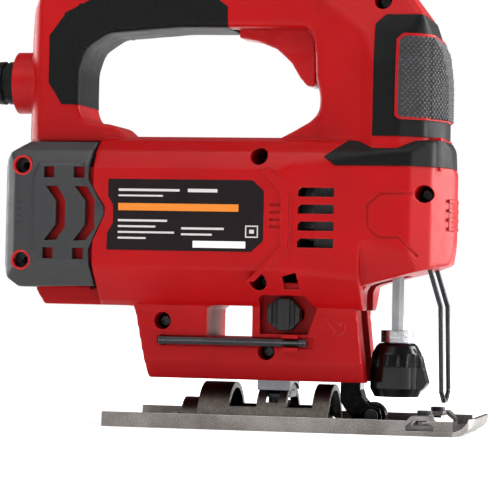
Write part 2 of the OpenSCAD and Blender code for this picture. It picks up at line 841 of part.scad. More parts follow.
module switch_body() {
    color("#3a3a3d") difference() {
        block([-36, -9], [-hw + wall, hw - wall], [171.5, 188]);
        for (x = [-33, -15]) rod_y(-30, 30, 1.4, x, 185);
    }
}

// ---- motor ----

module arc_piece(r0, r1, half, x0, x1) {
    intersection() {
        difference() {
            rod_x(x0, x1, r1, 0, motor_z);
            rod_x(x0 - 1, x1 + 1, r0, 0, motor_z);
        }
        translate([x0 - 1, 0, motor_z]) rotate([90, 0, 90]) linear_extrude(x1 - x0 + 2)
            polygon([[0, 0], [-60 * tan(half), 60], [60 * tan(half), 60]]);
    }
}

module field_core() {
    color("#7c7f83") difference() {
        intersection() {
            rod_x(-50, -18, field_r, 0, motor_z);
            block([-60, 0], [-field_r + 1.5, field_r - 1.5], [0, 200]);
        }
        rod_x(-60, 0, armature_r + 0.5, 0, motor_z);
        for (a = [0, 180]) translate([0, 0, motor_z]) rotate([a, 0, 0]) translate([0, 0, -motor_z])
            arc_piece(armature_r + 0.4, armature_r + 7, 52, -60, 0);
    }
}

module field_windings() {
    color("#a4581f") for (a = [0, 180])
        translate([0, 0, motor_z]) rotate([a, 0, 0]) translate([0, 0, -motor_z])
            arc_piece(armature_r + 1, armature_r + 6.8, 50, -56, -12);
}

module armature_shaft() { color("#9da0a4") rod_x(rear_bearing_x + gap, gear_x - 1, shaft_r, 0, motor_z); }

module armature_core() {
    color("#85888c") difference() {
        rod_x(-49, -19, armature_r, 0, motor_z);
        rod_x(-50, -18, shaft_r, 0, motor_z);
        for (a = [0 : 30 : 330]) translate([0, 0, motor_z]) rotate([a, 0, 0])
            block([-50, -18], [-0.6, 0.6], [armature_r - 3, armature_r + 1]);
    }
}

module armature_windings() {
    color("#b5651d") for (x = [[-58, -49], [-19, -10]]) difference() {
        rod_x(x[0], x[1], armature_r - 1.4, 0, motor_z);
        rod_x(x[0] - 1, x[1] + 1, shaft_r, 0, motor_z);
    }
}

module commutator() {
    color("#b87333") difference() {
        rod_x(-75, -61, 11, 0, motor_z);
        rod_x(-76, -60, shaft_r, 0, motor_z);
        for (a = [0 : 15 : 345]) translate([0, 0, motor_z]) rotate([a, 0, 0])
            block([-76, -62.5], [-0.3, 0.3], [9.6, 12]);
    }
}

module fan() {
    color("#c9c4b4") difference() {
        union() {
            rod_x(24, 26, fan_r, 0, motor_z);
            rod_x(16, 26, 8, 0, motor_z);
            for (a = [0 : 36 : 324]) translate([0, 0, motor_z]) rotate([a, 0, 0])
                block([17, 24.5], [-0.8, 0.8], [7, fan_r - 0.3]);
        }
        rod_x(10, 30, shaft_r, 0, motor_z);
    }
}

module bearing(x) {
    difference() {
        rod_x(x, x + bearing_len, bearing_r, 0, motor_z);
        rod_x(x - 1, x + 10, shaft_r + running, 0, motor_z);
        for (s = [x - 1, x + bearing_len - 0.6]) difference() {
            rod_x(s, s + 1.6, bearing_r - 1.5, 0, motor_z);
            rod_x(s - 1, s + 3, shaft_r + 1.6, 0, motor_z);
        }
    }
}
module front_bearing() { color("#b9bcc0") bearing(bearing_x); }
module rear_bearing() { color("#b9bcc0") bearing(rear_bearing_x); }

module brush_plate() {
    color("#6b4a2a") difference() {
        union() {
            intersection() {
                along_x(-60, -58) offset(delta = -wall)
                    top_section([[17, barrel_bot], [20.5, barrel_bot + 2], [bw, barrel_bot + 16]]);
                block([-70, -50], [-bw + wall + 2.6, bw - wall - 2.6], [0, 200]);
            }
            both_sides() block([-73, -60], [12.2, 26], [motor_z - 5.5, motor_z + 5.5]);
        }
        rod_x(-62, -50, 19, 0, motor_z);
        both_sides() block([-71, -63], [10, 30], [motor_z - 4, motor_z + 4]);
    }
}
module brushes() {
    color("#3d3d40") both_sides() difference() {
        block([-71, -63], [10, 24], [motor_z - 4, motor_z + 4]);
        rod_x(-80, -50, 11 + gap, 0, motor_z);
    }
}

// ---- drive ----

function gear_outline(n, add, ded, turn) = [
    for (i = [0 : n - 1]) let (a = 360 * i / n + turn, q = 360 / n)
        for (k = [[-0.29, -ded], [-0.13, add], [0.13, add], [0.29, -ded]])
            let (r = gear_module * n / 2 + k[1]) [r * cos(a + q * k[0]), r * sin(a + q * k[0])]];

module pinion() {
    color("#aeb1b5") translate([gear_x - 1, 0, motor_z]) rotate([90, 0, 90]) linear_extrude(gear_len + 2)
        polygon(gear_outline(pinion_teeth, gear_module, 1.05 * gear_module, 90));
}

module drive_gear() {
    color("#8f9296") difference() {
        union() {
            translate([gear_x, 0, gear_z]) rotate([90, 0, 90]) linear_extrude(gear_len)
                polygon(gear_outline(gear_teeth, 0.85 * gear_module, 1.1 * gear_module,
                                     -90 + 180 / gear_teeth));
            rod_x(gear_x - 2, gear_x + gear_len + 1.5, 5.6, 0, gear_z);
            rod_x(gear_x + 1, plunger_rear - gap - 1.5, crank_pin_r, 0, yoke_z);
        }
        rod_x(gear_x - 5, gear_x + 20, 3 + running, 0, gear_z);
    }
}

module gear_axle() { color("#aeb1b5") rod_x(plate_x, gear_x + gear_len + 1.4, 3, 0, gear_z); }

module gear_housing() {
    color("#b4b6b8") difference() {
        union() {
            block([plate_x, plate_x + plate_t], [-cheek_y - cheek_t, cheek_y + cheek_t],
                  [slot_top, plate_top]);
            rod_x(plate_x, bearing_x + bearing_len, bearing_r + 2, 0, motor_z);
            rod_x(plate_x, gear_x - 2.3, 5.5, 0, gear_z);
            both_sides() along_y(cheek_y, cheek_y + cheek_t) polygon([
                [plate_x + 1, slot_top], [plate_x + 1, plate_top], [53, plate_top],
                [57, upper_bush_z + bush_h], [plunger_x + 6.5, upper_bush_z + bush_h],
                [plunger_x + 6.5, lower_bush_z], [46, lower_bush_z], [40, slot_top]]);
        }
        rod_x(bearing_x, bearing_x + 12, bearing_r, 0, motor_z);
        rod_x(plate_x - 1, bearing_x + 1, shaft_r + 1, 0, motor_z);
        rod_x(plate_x - 1, gear_x, 3, 0, gear_z);
    }
}

module plunger() {
    color("#a6a9ad") {
        block([plunger_rear, plunger_front], [-plunger_w / 2, plunger_w / 2], [collar_z, yoke_z - yoke_h + 1]);
        block([plunger_rear, plunger_front], [-plunger_w / 2, plunger_w / 2],
              [yoke_z + yoke_h - 1, upper_bush_z + bush_h + 3]);
        difference() {
            block([plunger_rear - 1.5, plunger_front], [-yoke_y, yoke_y],
                  [yoke_z - yoke_h, yoke_z + yoke_h]);
            block([plunger_rear - 5, plunger_front + 5],
                  [-stroke / 2 - crank_pin_r - gap, stroke / 2 + crank_pin_r + gap],
                  [yoke_z - crank_pin_r - gap, yoke_z + crank_pin_r + gap]);
        }
    }
}

module plunger_bushes() {
    color("#9c7a45") for (z = [lower_bush_z, upper_bush_z]) difference() {
        block([plunger_x - 6, plunger_x + 6], [-cheek_y, cheek_y], [z, z + bush_h]);
        block([plunger_rear - running, plunger_front + running],
              [-plunger_w / 2 - running, plunger_w / 2 + running], [z - 1, z + bush_h + 1]);
    }
}

// ---- roller ----

module roller_arm() {
    color("#9a9da1") difference() {
        union() {
            along_y(-arm_t / 2, arm_t / 2) polygon([
                [arm_x - 4.2, arm_tail_z], [arm_x - 4.2, 12], [43.8, 7.6], [46.6, 4.6], [roller_x - 2, 1.9],
                [roller_x + 2.5, 2.4], [roller_x + 4.4, 5.4], [roller_x + 3.4, 9.4], [52.6, 11],
                [50.4, 13.6], [arm_x + 4.2, 17], [arm_x + 4.2, arm_z + 4], [arm_x, arm_tail_z]]);
            rod_y(-arm_t / 2, arm_t / 2, 4.8, arm_x, arm_z);
        }
        rod_y(-arm_t, arm_t, arm_pin_r + running, arm_x, arm_z);
        rod_y(-roller_w / 2 - gap, roller_w / 2 + gap, roller_r + 0.8, roller_x, roller_z);
        rod_y(-arm_t, arm_t, roller_pin_r, roller_x, roller_z);
        for (s = [-1, 1]) block([0, arm_x + 10], [s * arm_t / 2 - 1.2, s * arm_t / 2 + 1.2], [20, 60]);
    }
}
module arm_pin() { color("#aeb1b5") rod_y(-12, 12, arm_pin_r, arm_x, arm_z); }

module guide_roller() {
    color("#8b8e92") translate([roller_x, 0, roller_z]) rotate([90, 0, 0]) rotate_extrude() polygon([
        [roller_pin_r + running, -roller_w / 2], [roller_r - 0.4, -roller_w / 2],
        [roller_r, -roller_w / 2 + 0.4], [roller_r, -0.9], [roller_r - 1.4, -0.7],
        [roller_r - 1.4, 0.7], [roller_r, 0.9], [roller_r, roller_w / 2 - 0.4],
        [roller_r - 0.4, roller_w / 2], [roller_pin_r + running, roller_w / 2]]);
}
module roller_pin() {
    color("#b9bcc0") {
        rod_y(-arm_t / 2, arm_t / 2, roller_pin_r, roller_x, roller_z);
        both_sides() rod_y(arm_t / 2, arm_t / 2 + 0.6, roller_pin_r + 0.8, roller_x, roller_z);
    }
}

// ---- blade clamp ----

module clamp_collar() {
    color("#b3b6ba") difference() {
        rod_z(collar_z, collar_z + collar_h, collar_r, plunger_x);
        block([plunger_rear, plunger_front], [-plunger_w / 2, plunger_w / 2], [30, 60]);
        rod_y(-10, 10, 2.2, plunger_x, collar_z + 2.5);
    }
}
module clamp_pin() {
    color("#a4a7ab") difference() {
        rod_y(-collar_r + 0.1, collar_r - 0.1, 2.2, plunger_x, collar_z + 2.5);
        block([plunger_rear, plunger_front], [-plunger_w / 2, plunger_w / 2], [30, 60]);
    }
}
module clamp_core() {
    color("#8b8e92") difference() {
        union() {
            rod_z(bell_z + 0.8, collar_z, core_r, plunger_x);
            rod_z(bell_z + 0.4, bell_z + 1.4, core_r, plunger_x);
        }
        block([plunger_x - 4.6, plunger_x + 4.6], [-0.85, 0.85], [0, 33]);
    }
}

module clamp_bell() {
    color("#121213") difference() {
        union() {
            translate([plunger_x, 0, 0]) rotate_extrude() polygon([
                [0, bell_z], [bell_r - 1.8, bell_z], [bell_r, bell_z + 3.4], [bell_r, 27],
                [bell_r - 0.7, 32.4], [bell_r - 2.4, 35.6], [bell_r - 3.6, collar_z - gap],
                [0, collar_z - gap]]);
            along_y(-5.2, 5.2) polygon([
                [plunger_x, 16], [plunger_x + 8.6, 15], [plunger_x + 11.8, 18], [plunger_x + 13.4, 20.2],
                [plunger_x + 12, 25], [plunger_x + 10.4, 31], [plunger_x + 8, 34.6], [plunger_x, 35]]);
        }
        rod_z(0, 60, core_r + gap, plunger_x);
        // Grip flutes
        for (a = [-150 : 24 : 150]) translate([plunger_x, 0, 0]) rotate(a)
            rod_z(bell_z + 12.4, 60, 0.8, bell_r + 0.1);
        for (y = [-3.4, 0, 3.4]) block([plunger_x + 11, plunger_x + 20], [y - 0.6, y + 0.6], [18, 26]);
    }
}

// ---- foot ----

module foot_plan(inset = 0) {
    offset(delta = -inset) polygon(plan([
        [-sole_rear, sw], [sole_front - 8, sw], [sole_front - 2.2, sw - 5], [sole_front, sw - 12]]));
}

module foot_plate() {
    nx = sole_front;
    color("#9b9a98") difference() {
        union() {
            along_z(0, sheet_t) difference() {
                foot_plan();
                translate([nx - 8, -100]) square([60, 200]);
            }
            // Flanges along both sides
            difference() {
                along_z(0, flange_h) difference() {
                    foot_plan();
                    foot_plan(sheet_t);
                    translate([nx - 8, -100]) square([60, 200]);
                    translate([-sole_rear - 1, -sw + sheet_t]) square([20, sole_w - 2 * sheet_t]);
                }
                block([guide_x - guide_w / 2, guide_x + guide_w / 2], [-60, 60], [sheet_t, 20]);
            }
            // Turned-up nose
            intersection() {
                along_y(-sw, sw) polygon([
                    [nx - 8.2, 0], [nx - 5.6, 0.3], [nx - 2.6, 2], [nx - 0.8, 4.2], [nx, 7.1],
                    [nx - sheet_t, 7.1], [nx - 3, 5], [nx - 4.6, 3.2], [nx - 6.4, 2.3],
                    [nx - 8.2, sheet_t]]);
                along_z(-1, 20) foot_plan();
            }
        }
        // Slot for the blade and the roller
        block([39.6, 78], [-blade_slot_w / 2, blade_slot_w / 2], [-1, 10]);
        block([70, nx - 12], [-4, 4], [-1, 10]);
        // Room for the bevel screw's head, and rivet holes
        along_z(-1, 10) translate([bevel_screw_x, 0]) circle(r = 5.5);
        for (p = rivet_spots) rod_z(-1, 10, 1.5, p[0], p[1]);
    }
    color("#9b9a98") both_sides() arch();
}

// X and Y of the rivets that join the hump to the plate
rivet_spots = [[-31, -6], [-31, 6], [-10, -12], [-10, 12], [33.5, -12], [33.5, 12]];

// Saddle over an edge guide window
module arch() {
    x0 = guide_x - guide_w / 2;
    x1 = guide_x + guide_w / 2;
    z0 = sheet_t;
    difference() {
        along_y(13.5, sw) polygon([
            [x0 - 1.6, z0], [x0 - 1.6, z0 + 2.4], [x0 + 2.4, z0 + 6], [x1 - 2.4, z0 + 6],
            [x1 + 1.6, z0 + 2.4], [x1 + 1.6, z0], [x1, z0], [x1, z0 + 2], [x1 - 3, z0 + 4.4],
            [x0 + 3, z0 + 4.4], [x0, z0 + 2], [x0, z0]]);
        // Clear of the wire guard when the sole is tilted
        block([x1 - 2.8, x1 + 5], [0, 26.5], [z0 + 1.2, 20]);
        rod_z(0, 20, 1.6, guide_x, 20);
    }
}

module foot_bracket() {
    color("#6f6862") difference() {
        union() {
            rod_x(hump_x0, hump_x1, hump_r);
            rod_x(hump_x0 - 8.6, hump_x0 + 1, 12);
            block([-36, hump_x0 - 7], [-9.5, 9.5], [sheet_t, 2 * sheet_t]);
        }
        block([-100, 100], [-50, 50], [-50, sheet_t]);
        difference() {
            rod_x(hump_x0 + hump_t, 60, hump_r - hump_t);
            for (x = [-14, 30]) block([x, x + 7.5], [-60, 60], [0, 2 * sheet_t]);
        }
        difference() {
            rod_x(hump_x0 - 20, hump_x0 + 5, 12 - hump_t);
            block([-36, hump_x0 - 7], [-9.5, 9.5], [0, 2 * sheet_t]);
        }
        // Windows on both sides of the arc slot
        block([-4.3, 7.4], [-30, 30], [9.1, 30]);
        block([19.9, 31], [-30, 30], [9.1, 30]);
        // Arc slot for the bevel screw
        translate([bevel_screw_x - 2.9, 0, 0]) rotate([90, 0, 90]) linear_extrude(5.8)
            polygon([[0, 0], [-40 * tan(bevel_limit + 9), 40], [40 * tan(bevel_limit + 9), 40]]);
        for (p = rivet_spots) rod_z(-1, 10, 1.5, p[0], p[1]);
    }
}

module foot_rivets() {
    color("#a9abae") for (p = rivet_spots) {
        rod_z(0.2, 2 * sheet_t, 1.5, p[0], p[1]);
        rod_z(2 * sheet_t, 2 * sheet_t + 1.2, 2.6, p[0], p[1]);
    }
}

module bevel_seat() {
    color("#55575a") difference() {
        block([bevel_screw_x - 7, bevel_screw_x + 7], [-10.5, 10.5], [15.8, lower_z + 2.4]);
        rod_x(0, 40, hump_r + gap);
        rod_z(0, 40, 2.5, bevel_screw_x);
    }
}

module bevel_screw() {
    saddle_r = hump_r - hump_t - gap;
    head_z = saddle_r - 3;
    color("#34363a") difference() {
        union() {
            rod_z(head_z - 4.6, head_z, 4.2, bevel_screw_x);
            rod_z(head_z - 0.5, bevel_screw_top, 2.5, bevel_screw_x);
            intersection() {
                rod_x(bevel_screw_x - 6.4, bevel_screw_x + 6.4, saddle_r);
                block([0, 40], [-7, 7], [head_z, 30]);
            }
        }
        translate([bevel_screw_x, 0, head_z - 5]) cylinder(h = 3, r = 2.3, $fn = 6);
    }
}

module guide_screws() {
    color("#3b3d41") both_sides() difference() {
        union() {
            rod_z(sheet_t + 6, sheet_t + 7.8, 3.1, guide_x, 20);
            rod_z(sheet_t + 3.2, sheet_t + 6.1, 1.6, guide_x, 20);
        }
        block([guide_x - 4, guide_x + 4], [19.5, 20.5], [sheet_t + 7.2, 20]);
    }
}

// ---- wire guard ----

// One leg: a bent-back upper end, seated in the nose, and a straight drop
module wire_leg() {
    bend = [guard_x - 1, 11, 52.3];
    seat = [guard_x - 6.2, 11, 69];
    v = seat - bend;
    translate(bend) rotate([0, atan2(v[0], v[2]), 0]) cylinder(h = norm(v), r = wire_r);
    translate(bend) sphere(r = wire_r * 1.03);
    w = [guard_x, 11, 17] - bend;
    translate(bend) rotate([0, atan2(w[0], w[2]), 0]) cylinder(h = norm(w), r = wire_r);
    translate([guard_x, 11, 17]) sphere(r = wire_r * 1.03);
}
module wire_guard() {
    toe = [guard_x, 4, 13.4];
    u = toe - [guard_x, 11, 17];
    color("#1c1d1f") {
        both_sides() wire_leg();
        both_sides() translate([guard_x, 11, 17]) rotate([acos(u[2] / norm(u)), 0, 0])
            cylinder(h = norm(u), r = wire_r);
        both_sides() translate(toe) sphere(r = wire_r * 1.03);
        rod_y(-4, 4, wire_r, guard_x, 13.4);
    }
}

housing_right();
housing_left();
rear_cap();
cap_bosses();
housing_screws();
rating_label();
front_band();
front_panel();
pad_trim();
front_pad();
grip_rubber();
top_rubber();
strain_relief();
cord();
cord_coil();
cord_tail();
plug();
plug_pins();
hex_key();
blower_knob();
selector_lever();
trigger();
trigger_pin();
lock_button();
speed_dial();
dial_axle();
switch_body();
field_core();
field_windings();
armature_shaft();
armature_core();
armature_windings();
commutator();
fan();
front_bearing();
rear_bearing();
brush_plate();
brushes();
gear_housing();
pinion();
drive_gear();
gear_axle();
plunger();
plunger_bushes();
roller_arm();
arm_pin();
guide_roller();
roller_pin();
clamp_collar();
clamp_pin();
clamp_core();
clamp_bell();
foot_plate();
foot_bracket();
foot_rivets();
bevel_seat();
bevel_screw();
guide_screws();
wire_guard();
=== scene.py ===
"""Studio scene of a corded jigsaw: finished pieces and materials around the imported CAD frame.

Every length in a sub-assembly's fields is in millimetres, as the CAD source has it, and
turns into metres where a mesh is made.
"""

import json
import logging
import math
from collections.abc import Callable
from dataclasses import dataclass
from enum import Enum

import bmesh
import bpy
import numpy as np
from mathutils import Matrix, Vector
from mathutils.bvhtree import BVHTree

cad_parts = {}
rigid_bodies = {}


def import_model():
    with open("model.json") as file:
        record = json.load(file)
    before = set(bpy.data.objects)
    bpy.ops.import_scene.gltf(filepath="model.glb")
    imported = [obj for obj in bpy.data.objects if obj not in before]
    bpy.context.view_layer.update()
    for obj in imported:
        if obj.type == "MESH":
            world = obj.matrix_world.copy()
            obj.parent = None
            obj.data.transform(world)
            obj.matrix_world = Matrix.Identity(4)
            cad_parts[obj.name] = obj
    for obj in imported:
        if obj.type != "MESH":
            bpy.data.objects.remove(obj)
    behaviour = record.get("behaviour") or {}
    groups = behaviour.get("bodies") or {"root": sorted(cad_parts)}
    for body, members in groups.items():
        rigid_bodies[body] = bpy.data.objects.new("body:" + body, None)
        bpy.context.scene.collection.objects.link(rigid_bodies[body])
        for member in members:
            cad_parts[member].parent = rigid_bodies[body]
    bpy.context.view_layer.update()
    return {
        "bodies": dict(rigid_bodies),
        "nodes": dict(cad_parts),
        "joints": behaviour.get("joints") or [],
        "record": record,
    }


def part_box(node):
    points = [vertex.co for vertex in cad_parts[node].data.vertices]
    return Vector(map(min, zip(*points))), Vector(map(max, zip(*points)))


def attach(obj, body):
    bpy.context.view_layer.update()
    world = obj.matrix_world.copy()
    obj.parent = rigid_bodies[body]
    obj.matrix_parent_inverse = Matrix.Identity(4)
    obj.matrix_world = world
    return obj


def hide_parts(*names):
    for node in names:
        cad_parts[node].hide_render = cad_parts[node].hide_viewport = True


LOG = logging.getLogger("jigsaw")
MM = 0.001
# Vertices nearer to each other than this, in metres, are one
MERGE_GAP = 1e-6
# How far a through cut and an upright prism reach, in millimetres: past any part of the tool
PAST_SIDES = 60
PAST_TOP = 300
# A Wave texture's bands repeat every 0.314 at scale 1
BAND_PERIOD = 0.314

Tree = bpy.types.NodeTree
Socket = bpy.types.NodeSocket
Value = float | Socket
Colour = tuple | Socket
Outline = list[tuple[float, float]]


class Axis(Enum):
    """The direction that an outline is extruded along."""

    X = 0
    Y = 1
    Z = 2


class Grain(Enum):
    """The direction in which a metal surface was worked."""

    NONE = (1.0, 1.0, 1.0)
    ALONG_X = (0.06, 1.0, 1.0)
    ALONG_Z = (1.0, 1.0, 0.06)


# ---------------------------------------------------------------- nodes and colours


def linear(code: str) -> tuple[float, float, float, float]:
    """Turn an sRGB hex colour into linear RGBA.

    Args:
        code: The colour as "#rrggbb".

    Returns:
        Linear red, green, blue and an alpha of 1.
    """
    parts = [int(code[i : i + 2], 16) / 255 for i in (1, 3, 5)]
    made = [c / 12.92 if c <= 0.04045 else ((c + 0.055) / 1.055) ** 2.4 for c in parts]
    return (*made, 1.0)


def add(tree: Tree, kind: str, inputs: dict | None = None, **settings: object) -> bpy.types.Node:
    """Add a node with its settings, values and links.

    Args:
        tree: The node tree to add to.
        kind: The node's type name.
        inputs: Socket name or index to a value, or to an output socket to link from.
        **settings: Attributes of the node.

    Returns:
        The new node.
    """
    node = tree.nodes.new(kind)
    for name, value in settings.items():
        setattr(node, name, value)
    for name, value in (inputs or {}).items():
        socket = node.inputs[name]
        if isinstance(value, Socket):
            tree.links.new(value, socket)
        else:
            socket.default_value = value
    return node


def maths(tree: Tree, operation: str, *values: Value) -> Socket:
    """Add a Math node and return its output.

    Args:
        tree: The node tree.
        operation: The Math node's operation.
        *values: Up to three numbers or output sockets.

    Returns:
        The node's value.
    """
    inputs = dict(enumerate(values))
    return add(tree, "ShaderNodeMath", inputs, operation=operation).outputs[0]


def blend_colour(tree: Tree, factor: Value, first: Colour, second: Colour) -> Socket:
    """Mix two colours by a factor and return the colour socket.

    Args:
        tree: The node tree.
        factor: A number or an output socket from 0 to 1.
        first: The colour or socket at 0.
        second: The colour or socket at 1.

    Returns:
        The mixed colour.
    """
    inputs = {0: factor, 6: first, 7: second}
    return add(tree, "ShaderNodeMix", inputs, data_type="RGBA").outputs[2]


def new_material(name: str) -> tuple[bpy.types.Material, Tree]:
    """Start an empty node material.

    Args:
        name: The material's name.

    Returns:
        The material and its cleared tree.
    """
    material = bpy.data.materials.new(name)
    material.use_nodes = True
    material.node_tree.nodes.clear()
    return material, material.node_tree


def object_point(tree: Tree, scale: tuple = (1.0, 1.0, 1.0)) -> Socket:
    """Object coordinates through a Mapping node.

    Args:
        tree: The node tree.
        scale: The pattern's scale on each axis.

    Returns:
        The mapped coordinates.
    """
    place = add(tree, "ShaderNodeTexCoord")
    return add(tree, "ShaderNodeMapping", {"Vector": place.outputs["Object"], "Scale": scale}).outputs[0]


def noise(tree: Tree, size_mm: float, where: Socket, detail: float = 3.0, rough: float = 0.55) -> Socket:
    """Noise whose features are about size_mm across.

    Args:
        tree: The node tree.
        size_mm: The size of one feature in millimetres.
        where: The coordinates to read.
        detail: How many finer octaves are added.
        rough: How strong the finer octaves are.

    Returns:
        A value round 0.5.
    """
    inputs = {"Vector": where, "Scale": 1 / (size_mm * MM), "Detail": detail, "Roughness": rough}
    return add(tree, "ShaderNodeTexNoise", inputs).outputs[0]


def spread(
    tree: Tree, value: Value, low: float, high: float, start: float = 0.35, stop: float = 0.65
) -> Socket:
    """Map a value that runs from start to stop onto low to high.

    Args:
        tree: The node tree.
        value: The socket to map.
        low: The result at start.
        high: The result at stop.
        start: The lower end of the value.
        stop: The upper end of the value.

    Returns:
        The mapped value, clamped.
    """
    inputs = {0: value, 1: start, 2: stop, 3: low, 4: high}
    return add(tree, "ShaderNodeMapRange", inputs).outputs[0]


def rounded(tree: Tree, radius_mm: float) -> Socket:
    """The surface direction with its edges rounded off, as a real moulding or pressing has them."""
    return add(tree, "ShaderNodeBevel", {"Radius": radius_mm * MM}, samples=4).outputs[0]


def edge_mask(tree: Tree, soft_normal: Socket) -> Socket:
    """A mask that is 1 on edges, where the rounded and the true directions part.

    Args:
        tree: The node tree.
        soft_normal: The rounded direction.

    Returns:
        The mask.
    """
    true = add(tree, "ShaderNodeNewGeometry").outputs["Normal"]
    along = add(tree, "ShaderNodeVectorMath", {0: soft_normal, 1: true}, operation="DOT_PRODUCT")
    return spread(tree, along.outputs["Value"], 1.0, 0.0, 0.86, 0.995)


def bumped(tree: Tree, height: Socket, depth_mm: float, normal: Socket) -> Socket:
    """A Bump node over a normal.

    Args:
        tree: The node tree.
        height: The height from 0 to 1.
        depth_mm: The height's full range in millimetres.
        normal: The normal that it starts from.

    Returns:
        The bumped normal.
    """
    inputs = {"Strength": 1.0, "Distance": depth_mm * MM, "Height": height, "Normal": normal}
    return add(tree, "ShaderNodeBump", inputs).outputs[0]


def surface(tree: Tree, **inputs: object) -> None:
    """Finish a material with a Principled shader. Underscores in names stand for spaces.

    Args:
        tree: The node tree.
        **inputs: The shader's inputs.
    """
    named = {name.replace("_", " "): value for name, value in inputs.items()}
    shader = add(tree, "ShaderNodeBsdfPrincipled", named)
    add(tree, "ShaderNodeOutputMaterial", {"Surface": shader.outputs[0]})


# ---------------------------------------------------------------- finishes


@dataclass(frozen=True)
class Moulded:
    """An injection-moulded plastic or overmoulded rubber with a spark-eroded grain.

    The grain breaks the highlight into a fine satin, and the edges are paler: partly wear where they
    have been handled, partly a painted highlight along the rounded edges. A real grain is about 0.1 mm: it is
    drawn coarser to show.
    """

    name: str
    colour: str
    # The paler edge colour: partly wear, partly a painted highlight
    edge_wear_highlight: str
    roughness: float = 0.42
    ior: float = 1.53
    grain_mm: float = 0.9
    depth_mm: float = 0.02
    edge_mm: float = 0.7
    mottle: float = 0.12
    mottle_mm: float = 26.0
    scuff_mm: float = 5.0
    sheen: float = 0.0
    specular: float = 0.3

    def make(self) -> bpy.types.Material:
        """Build the material.

        Returns:
            The material.
        """
        material, tree = new_material(self.name)
        at = object_point(tree)
        fine = noise(tree, self.grain_mm, at, 2.0, 0.5)
        broad = noise(tree, self.mottle_mm, at, 3.0, 0.5)
        scuff = noise(tree, self.scuff_mm, object_point(tree, (0.35, 1.0, 1.0)), 5.0, 0.7)
        soft = rounded(tree, self.edge_mm)
        # Paler edges where the scuff noise allows: partly handling wear, partly a painted highlight
        worn_and_highlit = maths(tree, "MULTIPLY", edge_mask(tree, soft), spread(tree, scuff, 0.2, 0.85, 0.4, 0.6))
        dark = tuple(c * (1 - self.mottle) for c in linear(self.colour)[:3]) + (1.0,)
        body = blend_colour(tree, spread(tree, broad, 0.0, 1.0), dark, linear(self.colour))
        tint = blend_colour(tree, worn_and_highlit, body, linear(self.edge_wear_highlight))
        rough = spread(tree, scuff, self.roughness - 0.05, self.roughness + 0.07)
        surface(
            tree, Base_Color=tint, Roughness=rough, IOR=self.ior, Specular_IOR_Level=self.specular,
            Sheen_Weight=self.sheen, Sheen_Roughness=0.5, Normal=bumped(tree, fine, self.depth_mm, soft),
        )
        return material


@dataclass(frozen=True)
class Metal:
    """A bare or plated metal, brushed, ground, cast or pressed.

    The working direction stretches the scratches, and handling leaves soft cloudy patches. The edges turn
    pale: partly rubbed bright, partly a painted highlight.
    """

    name: str
    colour: str
    shade: str
    roughness: float = 0.32
    grain: Grain = Grain.NONE
    grain_mm: float = 0.7
    depth_mm: float = 0.012
    edge_mm: float = 0.35
    cloud_mm: float = 14.0
    line_share: float = 0.55
    cloud_share: float = 0.45
    # The pale edge colour: partly rubbed metal, partly a painted highlight
    rubbed_and_highlight: str = "#e9e9ea"
    rubbed_and_highlight_share: float = 0.35

    def make(self) -> bpy.types.Material:
        """Build the material.

        Returns:
            The material.
        """
        material, tree = new_material(self.name)
        lines = noise(tree, self.grain_mm, object_point(tree, self.grain.value), 4.0, 0.6)
        cloud = noise(tree, self.cloud_mm, object_point(tree), 4.0, 0.55)
        soft = rounded(tree, self.edge_mm)
        # Pale edges: partly rubbed bright, partly a painted highlight
        edge_wear_highlight = maths(tree, "MULTIPLY", edge_mask(tree, soft), self.rubbed_and_highlight_share)
        mixed = maths(tree, "MULTIPLY", spread(tree, lines, 0.0, 1.0, 0.3, 0.7), self.line_share)
        mixed = maths(tree, "MULTIPLY_ADD", spread(tree, cloud, 0.0, 1.0), self.cloud_share, mixed)
        tint = blend_colour(tree, mixed, linear(self.shade), linear(self.colour))
        tint = blend_colour(tree, edge_wear_highlight, tint, linear(self.rubbed_and_highlight))
        rough = spread(tree, lines, self.roughness + 0.08, self.roughness - 0.05, 0.3, 0.7)
        surface(
            tree, Base_Color=tint, Roughness=rough, Metallic=1.0,
            Normal=bumped(tree, lines, self.depth_mm, soft),
        )
        return material


@dataclass(frozen=True)
class Banded:
    """Thin layers side by side: stamped laminations, or enamelled wire wound in rows."""

    name: str
    colour: str
    gap: str
    axis: Axis
    pitch_mm: float
    roughness: float = 0.35
    metallic: float = 1.0
    depth_mm: float = 0.15

    def make(self) -> bpy.types.Material:
        """Build the material.

        Returns:
            The material.
        """
        material, tree = new_material(self.name)
        inputs = {
            "Vector": object_point(tree), "Scale": BAND_PERIOD / (self.pitch_mm * MM), "Distortion": 0.35,
            "Detail": 1.0, "Detail Scale": 2.0,
        }
        wave = add(
            tree, "ShaderNodeTexWave", inputs,
            wave_type="BANDS", bands_direction=self.axis.name, wave_profile="SIN",
        ).outputs["Fac"]
        crown = spread(tree, wave, 0.0, 1.0, 0.05, 0.5)
        tint = blend_colour(tree, crown, linear(self.gap), linear(self.colour))
        fine = noise(tree, 2.0, object_point(tree))
        rough = spread(tree, fine, self.roughness - 0.05, self.roughness + 0.08)
        surface(
            tree, Base_Color=tint, Roughness=rough, Metallic=self.metallic,
            Normal=bumped(tree, wave, self.depth_mm, rounded(tree, 0.3)),
        )
        return material


